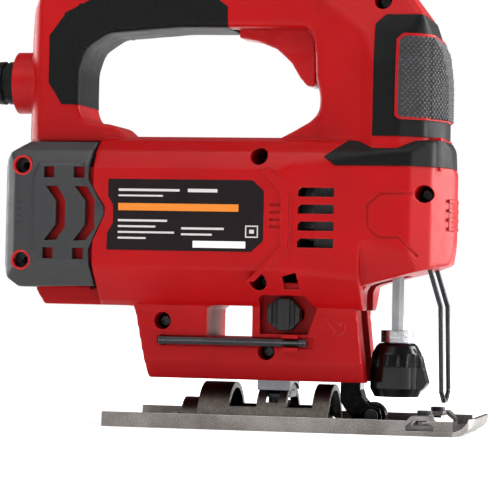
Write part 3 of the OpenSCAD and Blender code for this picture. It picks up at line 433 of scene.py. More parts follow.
@dataclass(frozen=True)
class PrintedFilm:
    """A satin polycarbonate label film, printed on its back in flat colours.

    The bars stand for lettering, which is left out. Boxes are X0, X1, Z0 and Z1 in millimetres.
    """

    name: str = "printed_label_film"
    ground: str = "#170f11"
    inks: tuple = (
        ("#dc7f2e", ((-49.0, 2.0, 89.6, 92.6),)),
        ("#f2efec", ((-17.0, 5.2, 74.6, 77.4),)),
        ("#c9c3c2", (
            (-49.0, -23.0, 97.6, 98.6), (-49.0, -30.0, 95.4, 96.1), (-19.5, -7.0, 97.4, 98.8),
            (-49.0, -28.0, 85.0, 85.9), (-49.0, -33.0, 82.6, 83.4), (-49.0, -25.0, 80.2, 81.0),
            (-49.0, -37.0, 77.8, 78.6), (-22.0, -4.0, 82.0, 82.9), (-22.0, -9.0, 79.6, 80.4),
            (5.0, 10.4, 79.0, 79.5), (5.0, 10.4, 83.5, 84.0), (5.0, 5.5, 79.0, 84.0), (9.9, 10.4, 79.0, 84.0),
            (6.7, 8.7, 80.7, 82.3),
        )),
    )

    def make(self) -> bpy.types.Material:
        """Build the material.

        Returns:
            The material.
        """
        material, tree = new_material(self.name)
        split = add(tree, "ShaderNodeSeparateXYZ", {0: object_point(tree)})
        tint = linear(self.ground)
        for ink, boxes in self.inks:
            total = None
            for x0, x1, z0, z1 in boxes:
                inside = [
                    maths(tree, "COMPARE", split.outputs[axis], (low + high) / 2 * MM, (high - low) / 2 * MM)
                    for axis, low, high in ((0, x0, x1), (2, z0, z1))
                ]
                patch = maths(tree, "MULTIPLY", *inside)
                total = patch if total is None else maths(tree, "MAXIMUM", total, patch)
            tint = blend_colour(tree, total, tint, linear(ink))
        haze = noise(tree, 3.0, object_point(tree), 5.0, 0.6)
        weave = noise(tree, 0.5, object_point(tree), 2.0)
        surface(
            tree, Base_Color=tint, Roughness=spread(tree, haze, 0.3, 0.42), IOR=1.58, Specular_IOR_Level=0.12,
            Normal=bumped(tree, weave, 0.006, rounded(tree, 0.2)),
        )
        return material


Finish = Moulded | Metal | Banded | PrintedFilm

# Glass-filled nylon, moulded in a spark-eroded tool: an even satin, deep red
RED_SHELL = Moulded("red_moulded_nylon", "#a6060b", "#cc2a2e", roughness=0.4, specular=0.14)
# Acetal from a polished tool: the same red with a tighter highlight
RED_GLOSS = Moulded("red_polished_acetal", "#b20a10", "#cf3035", roughness=0.26, depth_mm=0.008)
# The shell's nylon in charcoal, with a coarser grain that reads as a dry matt
CHARCOAL = Moulded(
    "charcoal_grained_nylon", "#2a2b2d", "#4a4b4e", roughness=0.48, grain_mm=0.8, depth_mm=0.06, specular=0.4
)
# Thermoplastic rubber overmould: matt black, and the knurled pad greyer and faintly soft at grazing angles
BLACK_RUBBER = Moulded(
    "black_overmould_rubber", "#0a0b0b", "#1c1d1e", roughness=0.5, grain_mm=0.7, depth_mm=0.03, specular=0.12
)
PAD_RUBBER = Moulded(
    "grey_knurled_rubber", "#2b2b2d", "#4c4d50", roughness=0.55, grain_mm=0.6, depth_mm=0.02, sheen=0.08
)
# Polished black acetal: the lever, the lock button and the clamp's bell take a clear highlight
BLACK_ACETAL = Moulded(
    "black_polished_acetal", "#050506", "#1f1f21", roughness=0.2, grain_mm=2.0, depth_mm=0.004
)
# Moulded nylon, black: a plain satin
KNOB_NYLON = Moulded("black_knob_nylon", "#1d1d1f", "#3a3a3d", roughness=0.4, grain_mm=0.8, depth_mm=0.02)
FAN_NYLON = Moulded("black_fan_nylon", "#1a1a1b", "#333335", roughness=0.4, grain_mm=1.2)
# Extruded PVC jacket: smooth along its length, a soft wide highlight
CORD_PVC = Moulded(
    "black_cord_jacket", "#1a1a1b", "#303032",
    roughness=0.5, ior=1.5, grain_mm=1.5, depth_mm=0.015, edge_mm=0.2,
)
# Paper-filled phenolic board and pressed carbon: dull, with a fine crumb
PHENOLIC = Moulded("brown_phenolic_board", "#5e3f22", "#7a5a38", roughness=0.5, grain_mm=0.6, depth_mm=0.03)
CARBON = Moulded("pressed_carbon", "#2e2e31", "#4b4b4f", roughness=0.55, grain_mm=0.5, depth_mm=0.04)
# Nickel-plated pressed steel with the fine orange-peel of the sheet
SOLE_STEEL = Metal("nickelled_sheet_steel", "#a39f9b", "#625e5a", roughness=0.34, depth_mm=0.05)
# Drawn sheet, unplated: browner, and darkened as painted shade for the shadow that falls on the bracket
SHADED_BRACKET_STEEL = Metal(
    "drawn_bracket_steel", "#57524d", "#383431", roughness=0.36, grain_mm=1.0, depth_mm=0.03
)
# Ground or brushed bar: clear lines along the work
BRIGHT_STEEL = Metal("ground_bright_steel", "#cfd0d2", "#a4a6a9", roughness=0.24, grain=Grain.ALONG_X)
PLUNGER_STEEL = Metal(
    "brushed_plunger_steel", "#a3a5a8", "#77797c", roughness=0.3, grain=Grain.ALONG_Z, grain_mm=0.8
)
# Chemically blacked or black zinc steel: dark faces, with edges lightened, partly rubbed bright and partly a
# painted highlight
BLACK_OXIDE = Metal("black_oxide_steel", "#4a4b4f", "#2b2c30", roughness=0.34, grain=Grain.ALONG_X)
ARM_STEEL = Metal("blackened_arm_steel", "#121213", "#070708", roughness=0.2, grain_mm=1.5)
SCREW_STEEL = Metal("black_zinc_screw", "#3a3b3e", "#252628", roughness=0.3, grain_mm=0.8)
# As cast, and darkened as painted shade, so that it stays dark behind the slots
SHADED_DIE_CAST = Metal("die_cast_zinc", "#5d5e60", "#434446", roughness=0.5, grain_mm=1.2, depth_mm=0.05)
# Pressed and sintered powder: a fine dull tooth
BRONZE = Metal("sintered_bronze", "#a98350", "#7d5f36", roughness=0.42, grain_mm=0.6, depth_mm=0.03)
GEAR_STEEL = Metal("sintered_gear_steel", "#9a9da1", "#74777b", roughness=0.38, depth_mm=0.02)
# Stamped or drawn along its length: fine lines and a clear highlight
BRASS = Metal("stamped_brass", "#d2b06a", "#ad8a48", roughness=0.28, grain=Grain.ALONG_X)
COMMUTATOR_COPPER = Metal(
    "drawn_commutator_copper", "#c07c4a", "#94582e", roughness=0.3, grain=Grain.ALONG_X
)
# Laminations under varnish, and wire under clear enamel: rows with dark gaps
# The laminations' grey is darkened as painted shade, so that they stay dark behind the slots
SHADED_CORE_LAMINATION = Banded("varnished_core_laminations", "#45464a", "#26272a", Axis.X, 0.9)
FIELD_WIRE = Banded("enamelled_field_wire", "#b5672a", "#5f3010", Axis.Y, 0.9, metallic=0.6)
ARMATURE_WIRE = Banded("enamelled_armature_wire", "#b8702c", "#643414", Axis.Z, 0.9, metallic=0.6)
LABEL_FILM = PrintedFilm()


class Palette:
    """Builds each finish once and puts it on pieces."""

    def __init__(self) -> None:
        """Start with no material made."""
        self.made: dict[str, bpy.types.Material] = {}

    def get(self, finish: Finish) -> bpy.types.Material:
        """The finish's material, made the first time that it is asked for.

        Args:
            finish: The finish.

        Returns:
            The material.
        """
        if finish.name not in self.made:
            self.made[finish.name] = finish.make()
        return self.made[finish.name]

    def dress(self, piece: bpy.types.Object, finish: Finish) -> None:
        """Put one finish on the whole of a piece.

        Args:
            piece: The mesh or curve.
            finish: The finish.
        """
        if piece.material_slots:
            for slot in piece.material_slots:
                slot.material = self.get(finish)
        else:
            piece.data.materials.append(self.get(finish))


# ---------------------------------------------------------------- mesh tools


def link(obj: bpy.types.Object) -> bpy.types.Object:
    """Put an object in the scene and return it."""
    bpy.context.scene.collection.objects.link(obj)
    return obj


def mesh_object(name: str, points: list, faces: list) -> bpy.types.Object:
    """Make a mesh object from points in metres.

    Args:
        name: The object's name.
        points: The vertices.
        faces: Their faces.

    Returns:
        The linked object.
    """
    mesh = bpy.data.meshes.new(name)
    mesh.from_pydata([tuple(p) for p in points], [], faces)
    mesh.validate()
    return link(bpy.data.objects.new(name, mesh))


def drop(*objects: bpy.types.Object) -> None:
    """Remove helper objects."""
    for obj in objects:
        bpy.data.objects.remove(obj, do_unlink=True)


def prism(outline: Outline, axis: Axis, low: float, high: float) -> bpy.types.Object:
    """Extrude an outline in millimetres.

    Args:
        outline: Points (Y, Z) for X, (X, Z) for Y, or (X, Y) for Z.
        axis: The direction of the extrusion.
        low: Where it starts.
        high: Where it ends.

    Returns:
        A closed mesh object with its faces outwards.
    """
    def at(pair: tuple[float, float], level: float) -> Vector:
        """A corner of the outline at one level, in metres."""
        return Vector((*pair[: axis.value], level, *pair[axis.value :])) * MM

    count = len(outline)
    points = [at(p, low) for p in outline] + [at(p, high) for p in outline]
    faces = [list(range(count)), list(range(count, 2 * count))]
    faces += [[i, (i + 1) % count, count + (i + 1) % count, count + i] for i in range(count)]
    obj = mesh_object("form", points, faces)
    mend(obj)
    return obj


def inset(outline: Outline, by: float) -> Outline:
    """Move an outline's corners inwards along their mitres.

    Args:
        outline: Corners in millimetres, in either turning direction.
        by: How far each edge moves.

    Returns:
        The new corners.
    """
    turn = sum(a[0] * b[1] - b[0] * a[1] for a, b in zip(outline, [*outline[1:], outline[0]]))
    sign = 1.0 if turn > 0 else -1.0
    made = []
    for i, corner in enumerate(outline):
        before = (Vector(corner) - Vector(outline[i - 1])).normalized()
        after = (Vector(outline[(i + 1) % len(outline)]) - Vector(corner)).normalized()
        first, second = Vector((-before.y, before.x)) * sign, Vector((-after.y, after.x)) * sign
        mitre = (first + second).normalized()
        made.append(tuple(Vector(corner) + mitre * by / max(mitre.dot(first), 0.4)))
    return made


def mend(obj: bpy.types.Object) -> None:
    """Merge doubles and turn all faces outwards.

    Args:
        obj: The mesh.
    """
    work = bmesh.new()
    work.from_mesh(obj.data)
    bmesh.ops.remove_doubles(work, verts=work.verts, dist=MERGE_GAP)
    bmesh.ops.recalc_face_normals(work, faces=work.faces)
    work.to_mesh(obj.data)
    work.free()


def settle(obj: bpy.types.Object) -> bpy.types.Object:
    """Turn an object's evaluated form into its plain mesh, with no modifier left.

    Args:
        obj: The object with its modifiers.

    Returns:
        The same object.
    """
    mesh = bpy.data.meshes.new_from_object(obj.evaluated_get(bpy.context.evaluated_depsgraph_get()))
    obj.modifiers.clear()
    old, obj.data = obj.data, mesh
    if old.users == 0:
        bpy.data.meshes.remove(old)
    return obj


def combine(base: bpy.types.Object, other: bpy.types.Object, operation: str) -> bpy.types.Object:
    """Apply a boolean to base with other, and remove other.

    Args:
        base: The mesh that changes.
        other: The mesh that it is combined with.
        operation: UNION, DIFFERENCE or INTERSECT.

    Returns:
        The base.
    """
    for solver in ("MANIFOLD", "EXACT"):
        cut = base.modifiers.new("cut", "BOOLEAN")
        cut.solver, cut.operation, cut.object = solver, operation, other
        ready = base.evaluated_get(bpy.context.evaluated_depsgraph_get())
        if len(ready.data.polygons):
            break
        LOG.info("solver %s gave nothing on %s", solver, base.name)
        base.modifiers.clear()
    settle(base)
    drop(other)
    return base


def soften(obj: bpy.types.Object, voxel_mm: float, rounds: int) -> bpy.types.Object:
    """Remesh evenly and relax, so that every edge gets a moulded radius.

    Args:
        obj: A closed mesh.
        voxel_mm: The size of one quad.
        rounds: How often the mesh is relaxed.

    Returns:
        The same object.
    """
    remesh = obj.modifiers.new("remesh", "REMESH")
    remesh.mode, remesh.voxel_size, remesh.use_smooth_shade = "VOXEL", voxel_mm * MM, True
    relax = obj.modifiers.new("relax", "SMOOTH")
    relax.factor, relax.iterations = 0.5, rounds
    return settle(obj)


def relax_where(obj: bpy.types.Object, weight: Callable[[np.ndarray], np.ndarray], rounds: int) -> None:
    """Relax part of a mesh further.

    Args:
        obj: The mesh.
        weight: A function from vertex positions in millimetres to weights from 0 to 1.
        rounds: How often it is relaxed.
    """
    places = vertex_array(obj) / MM
    group = obj.vertex_groups.new(name="soft")
    weights = weight(places)
    for level in np.unique(np.round(weights, 1)):
        chosen = np.nonzero(np.round(weights, 1) == level)[0]
        group.add([int(i) for i in chosen], float(level), "REPLACE")
    relax = obj.modifiers.new("relax", "SMOOTH")
    relax.factor, relax.iterations, relax.vertex_group = 0.5, rounds, "soft"
    settle(obj)
    obj.vertex_groups.clear()


def vertex_array(obj: bpy.types.Object) -> np.ndarray:
    """The mesh's vertices as an array of rows, in metres.

    Args:
        obj: The mesh.

    Returns:
        The array.
    """
    flat = np.empty(len(obj.data.vertices) * 3)
    obj.data.vertices.foreach_get("co", flat)
    return flat.reshape(-1, 3)


def grown(obj: bpy.types.Object, by_mm: float) -> bpy.types.Object:
    """A copy of a softened form with its surface moved outwards.

    Args:
        obj: The form.
        by_mm: The distance, negative for inwards.

    Returns:
        The new object.
    """
    mesh = obj.data.copy()
    outwards = np.empty(len(mesh.vertices) * 3)
    mesh.vertex_normals.foreach_get("vector", outwards)
    mesh.vertices.foreach_set("co", (vertex_array(obj) + outwards.reshape(-1, 3) * by_mm * MM).ravel())
    mesh.update()
    return link(bpy.data.objects.new("grown", mesh))


def copy_of(frame: dict, node: str, name: str) -> bpy.types.Object:
    """A merged copy of a CAD node's mesh, ready to be cut.

    Args:
        node: The CAD node.
        name: The copy's name.

    Returns:
        The new object.
    """
    mesh = frame["nodes"][node].data.copy()
    mesh.materials.clear()
    obj = link(bpy.data.objects.new(name, mesh))
    work = bmesh.new()
    work.from_mesh(mesh)
    bmesh.ops.remove_doubles(work, verts=work.verts, dist=MERGE_GAP)
    work.to_mesh(mesh)
    work.free()
    if mesh.has_custom_normals:
        mesh.attributes.remove(mesh.attributes["custom_normal"])
    return obj


def shade(obj: bpy.types.Object, angle: float = 32.0) -> None:
    """Shade smooth, with edges over the angle in degrees left sharp."""
    obj.data.shade_smooth()
    obj.data.set_sharp_from_angle(angle=math.radians(angle))


def finish_piece(
    obj: bpy.types.Object, palette: Palette, finish: Finish, body: str, slot: str, *nodes: str
) -> None:
    """Dress a new piece, set what it rides on and log it.

    Args:
        obj: The piece.
        palette: Where its material comes from.
        finish: Its finish.
        body: The CAD body that it rides on.
        slot: The record's material slot; not used.
        *nodes: The CAD nodes that it stands for.
    """
    palette.dress(obj, finish)
    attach(obj, body)
    if nodes:
        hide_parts(*nodes)
    LOG.info("%s: %s on %s", obj.name, finish.name, body)


# ---------------------------------------------------------------- geometry nodes


def placing_tree() -> Tree:
    """Build the tree that sets one part on every point of a cloud.

    Returns:
        The tree, with inputs named Part, Size and Finish. Each point's "turn" gives its part's rotation.
    """
    tree = bpy.data.node_groups.new("set_on_points", "GeometryNodeTree")
    face = tree.interface
    face.new_socket("Geometry", in_out="INPUT", socket_type="NodeSocketGeometry")
    face.new_socket("Part", in_out="INPUT", socket_type="NodeSocketObject")
    face.new_socket("Size", in_out="INPUT", socket_type="NodeSocketFloat").default_value = 1.0
    face.new_socket("Finish", in_out="INPUT", socket_type="NodeSocketMaterial")
    face.new_socket("Geometry", in_out="OUTPUT", socket_type="NodeSocketGeometry")
    given = add(tree, "NodeGroupInput")
    part = add(tree, "GeometryNodeObjectInfo", {"Object": given.outputs["Part"]})
    turn = add(tree, "GeometryNodeInputNamedAttribute", {"Name": "turn"}, data_type="FLOAT_VECTOR")
    turned = add(tree, "FunctionNodeEulerToRotation", {0: turn.outputs[0]})
    inputs = {
        "Points": given.outputs["Geometry"], "Instance": part.outputs["Geometry"],
        "Rotation": turned.outputs[0], "Scale": given.outputs["Size"],
    }
    placed = add(tree, "GeometryNodeInstanceOnPoints", inputs)
    real = add(tree, "GeometryNodeRealizeInstances", {0: placed.outputs[0]})
    inputs = {"Geometry": real.outputs[0], "Material": given.outputs["Finish"]}
    dressed = add(tree, "GeometryNodeSetMaterial", inputs)
    add(tree, "NodeGroupOutput", {0: dressed.outputs[0]})
    return tree


@dataclass
class PlacedParts:
    """One small part repeated on points, by Geometry Nodes."""

    name: str
    part: bpy.types.Object
    spots: list
    turns: list
    size: float = 1.0

    def build(self, material: bpy.types.Material) -> bpy.types.Object:
        """Set the part on every spot and make the result a plain mesh.

        Args:
            material: The material of all the parts.

        Returns:
            The new piece. The part itself is removed.
        """
        cloud = mesh_object(self.name, self.spots, [])
        turn = cloud.data.attributes.new("turn", "FLOAT_VECTOR", "POINT")
        turn.data.foreach_set("vector", [c for t in self.turns for c in t])
        tree = bpy.data.node_groups.get("set_on_points") or placing_tree()
        given = {"Part": self.part, "Size": self.size, "Finish": material}
        placer = cloud.modifiers.new("set_on_points", "NODES")
        placer.node_group = tree
        for item in tree.interface.items_tree:
            if item.in_out == "INPUT" and item.name in given:
                placer[item.identifier] = given[item.name]
        settle(cloud)
        drop(self.part)
        return cloud


def aim(direction: Vector, spin: float = 0.0) -> tuple[float, float, float]:
    """Euler angles that turn a part's +Z to a direction.

    Args:
        direction: Where the part's +Z points.
        spin: A turn about the part's own axis first, in radians.

    Returns:
        The XYZ Euler angles.
    """
    turn = direction.to_track_quat("Z", "Y").to_matrix() @ Matrix.Rotation(spin, 3, "Z")
    return tuple(turn.to_euler("XYZ"))


def turned_part(name: str, profile: Outline, steps: int) -> bpy.types.Object:
    """A closed body of revolution about Z.

    Args:
        name: The object's name.
        profile: (radius, height) pairs in millimetres from the axis round to the axis.
        steps: How many sides it has.

    Returns:
        The object.
    """
    points, faces = [], []
    inner = [p for p in profile if p[0] > 0]
    for radius, height in inner:
        for i in range(steps):
            angle = 2 * math.pi * i / steps
            points.append(Vector((radius * math.cos(angle), radius * math.sin(angle), height)) * MM)
    for ring in range(len(inner) - 1):
        for i in range(steps):
            j = (i + 1) % steps
            a, b = ring * steps, (ring + 1) * steps
            faces.append([a + i, a + j, b + j, b + i])
    last = (len(inner) - 1) * steps
    faces += [list(range(steps))[::-1], list(range(last, last + steps))]
    obj = mesh_object(name, points, faces)
    mend(obj)
    return obj


# ---------------------------------------------------------------- outlines


def mirrored(points: Outline, across: int) -> Outline:
    """Close half an outline by its mirror image.

    Args:
        points: The half outline.
        across: Which of the two coordinates changes its sign.

    Returns:
        The whole outline.
    """
    other = [(-p[0], p[1]) if across == 0 else (p[0], -p[1]) for p in reversed(points)]
    return list(points) + other


@dataclass
class ShellForms:
    """The housing's outer forms, from which its softened skin is made.

    Outlines hold millimetres of the shared frame, taken from the half widths, the top and the nose
    wherever they follow one of them.
    """

    half_barrel: float
    half_lower: float
    half_handle: float
    top: float
    handle_top: float
    nose: float
    voxel: float = 1.0
    cap_voxel: float = 0.8
    grip_from: float = 124.0
    grip_fade: float = 12.0

    def top_section(self, bottom: Outline) -> Outline:
        """The barrel's section in Y and Z above a given bottom edge."""
        w, t = self.half_barrel, self.top
        return mirrored([*bottom, (w, t - 14), (w - 4, t - 7.3), (w - 11, t - 2.3), (w - 22, t)], 0)

    def body_plan(self) -> Outline:
        """The barrel's plan in X and Y.

        Returns:
            The closed outline.
        """
        w, n = self.half_barrel, self.nose
        half = [(-60.5, w), (20, w), (24, w - 1), (42, w - 2), (56, w - 3.5), (n - 16, w - 5.5),
                (n - 8, w - 13), (n - 3.4, w - 22), (n, 5)]
        return mirrored(half, 1)

    def barrel(self) -> bpy.types.Object:
        """The motor barrel.

        Returns:
            The solid.
        """
        w = self.half_barrel
        form = prism(self.top_section([(17, 50), (20.5, 52), (w, 66)]), Axis.X, -60.5, 52)
        return combine(form, prism(self.body_plan(), Axis.Z, 0, PAST_TOP), "INTERSECT")

    def nose_block(self) -> bpy.types.Object:
        """The nose over the plunger.

        Returns:
            The solid.
        """
        n, t, w = self.nose, self.top, self.half_barrel
        side = [(33, 66), (44, 57), (56, 61.3), (n - 1.5, 69.3), (n, 78), (n, 108), (n - 1.2, 109.6),
                (n - 1.8, t - 4), (n - 4, t - 1.2), (n - 9, t), (33, t)]
        form = prism(side, Axis.Y, -w, w)
        section = self.top_section([(w - 10, 53), (w - 10, 62), (w - 3.5, 77.5), (w, 84)])
        combine(form, prism(section, Axis.X, 33, n), "INTERSECT")
        return combine(form, prism(self.body_plan(), Axis.Z, 0, PAST_TOP), "INTERSECT")

    def lower(self) -> bpy.types.Object:
        """The narrow lower housing that carries the foot.

        Returns:
            The solid.
        """
        w = self.half_lower
        side = [(-39.7, 20), (-46.5, 54), (-46.5, 68), (54.1, 68), (54.1, 62.1), (49.2, 52.2), (53, 20)]
        form = prism(side, Axis.Y, -w, w)
        section = mirrored([(w - 3, 20), (w, 28), (w, 80)], 0)
        return combine(form, prism(section, Axis.X, -50, 60), "INTERSECT")

    def shelf(self) -> bpy.types.Object:
        """The shelf under the rear cap."""
        side = [(-85.6, 50), (-89.6, 56.4), (-89.6, 58), (-52.5, 58), (-52.5, 50)]
        return prism(side, Axis.Y, -16, 16)

    def handle(self) -> bpy.types.Object:
        """The D-handle with its opening.

        Returns:
            The solid.
        """
        w, t, top = self.half_handle, self.handle_top, 118.9
        side = [(-95.6, top), (-95.6, t - 45), (-94, t - 30), (-88, t - 17), (-77, t - 8.5), (-55, t - 3),
                (-15, t), (25, t - 1), (48, t - 7), (64, t - 17), (75, t - 32), (81, t - 47), (83.2, 145),
                (83.4, 108), (-60.5, 108), (-60.5, top)]
        hole = [(-50.5, 120.7), (-57.5, 126.6), (-67.6, 127.4), (-70.4, 129.6), (-72, 134.6), (-72, 150),
                (-69, 159), (-60, 165), (-30, 167.4), (26, 167), (28.8, 162), (29.6, 145.6), (31.8, 138.5),
                (31.4, 132.5), (28, 128.4), (21.2, 124.4), (14.4, 120.7)]
        form = prism(side, Axis.Y, -w, w)
        combine(form, prism(hole, Axis.Y, -PAST_SIDES, PAST_SIDES), "DIFFERENCE")
        section = mirrored([(w, 100), (w, t - 15), (w - 3, t - 8), (w - 8, t + 1)], 0)
        combine(form, prism(section, Axis.X, -100, 90), "INTERSECT")
        plan = mirrored([(-95.6, w - 9), (-93.4, w - 4), (-89.4, w), (90, w)], 1)
        return combine(form, prism(plan, Axis.Z, 0, PAST_TOP), "INTERSECT")

    def column(self) -> bpy.types.Object:
        """The front column between the nose and the handle.

        Returns:
            The solid.
        """
        t, w, h = self.handle_top, self.half_barrel, self.half_handle
        side = [(32, 108), (32, 132), (32, 138.5), (29.8, 145.6), (28.8, 162), (34, t - 14), (48, t - 7),
                (64, t - 17), (75, t - 32), (81, t - 47), (83.2, 145), (83.4, 128), (83.4, 108)]
        form = prism(side, Axis.Y, -30, 30)
        half = [(w - 6.2, 100), (w - 6.2, 150), (w - 10, 166), (h - 1, t - 20), (h - 6, t - 5)]
        section = mirrored(half, 0)
        combine(form, prism(section, Axis.X, 20, 90), "INTERSECT")
        plan = mirrored([(29, h), (50, w - 10.4), (56, w - 6.4), (66, w - 6.4), (76, w - 13), (81, w - 22),
                         (83.4, 6)], 1)
        return combine(form, prism(plan, Axis.Z, 0, PAST_TOP), "INTERSECT")

    def skin(self) -> bpy.types.Object:
        """All the forms as one softened solid.

        Returns:
            The solid, with larger radii on the handle, where the hand closes round it.
        """
        whole = self.barrel()
        for form in (self.nose_block(), self.lower(), self.shelf(), self.handle(), self.column()):
            combine(whole, form, "UNION")
        soften(whole, self.voxel, 5)
        relax_where(whole, lambda p: np.clip((p[:, 2] - self.grip_from) / self.grip_fade, 0, 1), 26)
        return whole

    def cap(self) -> bpy.types.Object:
        """The rear cap as a softened solid.

        Returns:
            The solid.
        """
        w = self.half_barrel
        outline = [(-59.4, 60), (-61.2, 66.3), (-61.7, 73), (-55, 87.6), (-55, 91), (-62.2, 102.4),
                   (-61.8, 108.1), (-60.8, 116.3), (-60.7, 118.6), (-90.5, 118.6), (-97, 113.6),
                   (-100.9, 108.6), (-102.6, 100), (-102.6, 75), (-101.4, 66.5), (-98, 60.6), (-93.8, 57),
                   (-60, 58)]
        form = prism(outline, Axis.Y, -w, w)
        section = self.top_section([(17, 54), (24, 54), (w, 66)])
        combine(form, prism(section, Axis.X, -110, -50), "INTERSECT")
        plan = mirrored([(-102.6, 13), (-101.4, w - 12), (-98.6, w - 5), (-94, w - 1), (-89, w), (-50, w)], 1)
        combine(form, prism(plan, Axis.Z, 0, PAST_TOP), "INTERSECT")
        return soften(form, self.cap_voxel, 5)


# ---------------------------------------------------------------- sub-assemblies


@dataclass(frozen=True)
class SoftBox:
    """A rectangular lamp: where it stands and its width and height in metres, its power in watts."""

    name: str
    spot: tuple[float, float, float]
    size: tuple[float, float]
    power: float


@dataclass
class Studio:
    """The pale floor, the soft lights and the camera. Lengths in metres."""

    distance: float = 1.0593
    azimuth: float = 12.0
    elevation: float = -1.0
    roll: float = 1.2
    lens_mm: float = 180.0
    target: tuple = (0.0, 0.0, 0.0746)
    room: float = 0.19
    horizon_gain: float = 1.2
    horizon: tuple = (0.1, 0.45)
    floor_half: float = 6.0
    floor_glow: tuple = (0.35, 1.0)
    floor_fade: tuple = (0.14, 0.42)
    lamps: tuple = (
        SoftBox("key_softbox", (-0.55, -1.0, 0.9), (0.9, 0.7), 6.5),
        SoftBox("top_softbox", (0.1, -0.25, 1.2), (0.9, 0.6), 8.0),
        SoftBox("front_strip", (0.7, 0.36, 0.3), (0.4, 0.7), 11.0),
        SoftBox("nose_strip", (0.85, -0.3, 0.3), (0.16, 0.6), 2.2),
        SoftBox("rear_strip", (-1.0, 0.5, 0.4), (0.25, 0.8), 10.0),
    )

    def camera(self) -> None:
        """Set up the camera, rolled a little so that the sole falls towards its front."""
        a, e, r = (math.radians(v) for v in (self.azimuth, self.elevation, self.roll))
        back = Vector((math.sin(a) * math.cos(e), -math.cos(a) * math.cos(e), math.sin(e)))
        right = Vector((math.cos(a), math.sin(a), 0.0))
        up = back.cross(right)
        across = right * math.cos(r) + up * math.sin(r)
        along = up * math.cos(r) - right * math.sin(r)
        data = bpy.data.cameras.new("camera")
        data.lens, data.sensor_width = self.lens_mm, 36.0
        data.clip_start, data.clip_end = 0.05, 40.0
        camera = link(bpy.data.objects.new("camera", data))
        stand = Matrix.Translation(Vector(self.target) + back * self.distance)
        camera.matrix_world = stand @ Matrix((across, along, back)).transposed().to_4x4()
        bpy.context.scene.camera = camera

    def light(self, box: SoftBox) -> None:
        """Add a soft box aimed at the tool.

        Args:
            box: The lamp.
        """
        data = bpy.data.lights.new(box.name, "AREA")
        data.shape, data.size, data.size_y = "RECTANGLE", *box.size
        data.energy = box.power
        lamp = link(bpy.data.objects.new(box.name, data))
        lamp.location = box.spot
        lamp.rotation_euler = (Vector(self.target) - lamp.location).to_track_quat("-Z", "Y").to_euler()

    def world(self) -> None:
        """A dim grey room with a white backdrop, so that the lamps shape the tool."""
        world = bpy.data.worlds.new("studio")
        world.use_nodes = True
        tree = world.node_tree
        tree.nodes.clear()
        place = add(tree, "ShaderNodeTexCoord").outputs["Generated"]
        way = add(tree, "ShaderNodeSeparateXYZ", {0: place})
        height = maths(tree, "ABSOLUTE", way.outputs[2])
        glow_level = spread(tree, height, self.room * self.horizon_gain, self.room, *self.horizon)
        seen = add(tree, "ShaderNodeLightPath").outputs["Is Camera Ray"]
        level = maths(tree, "MAXIMUM", glow_level, seen)
        glow = add(tree, "ShaderNodeBackground", {"Color": (1, 1, 1, 1), "Strength": level})
        add(tree, "ShaderNodeOutputWorld", {"Surface": glow.outputs[0]})
        bpy.context.scene.world = world

    def floor(self) -> None:
        """A pale table top that glows as painted light: faintly near the tool, where it takes a soft shadow,
        and white further out.
        """
        half = self.floor_half
        corners = [(-half, -half, 0), (half, -half, 0), (half, half, 0), (-half, half, 0)]
        floor = mesh_object("floor", corners, [(0, 1, 2, 3)])
        material, tree = new_material("pale_floor")
        out = add(tree, "ShaderNodeVectorMath", {0: object_point(tree)}, operation="LENGTH")
        # The floor's glow, painted light: weaker near the tool, full white further out
        floor_glow_level = spread(tree, out.outputs["Value"], *self.floor_glow, *self.floor_fade)
        surface(
            tree, Base_Color=linear("#f2f2f2"), Roughness=0.9, Specular_IOR_Level=0.1,
            Emission_Color=(1.0, 1.0, 1.0, 1.0), Emission_Strength=floor_glow_level,
        )
        floor.data.materials.append(material)

    def build(self) -> None:
        """Make the studio."""
        self.camera()
        self.world()
        self.floor()
        for box in self.lamps:
            self.light(box)
        bpy.context.scene.view_settings.view_transform = "Standard"


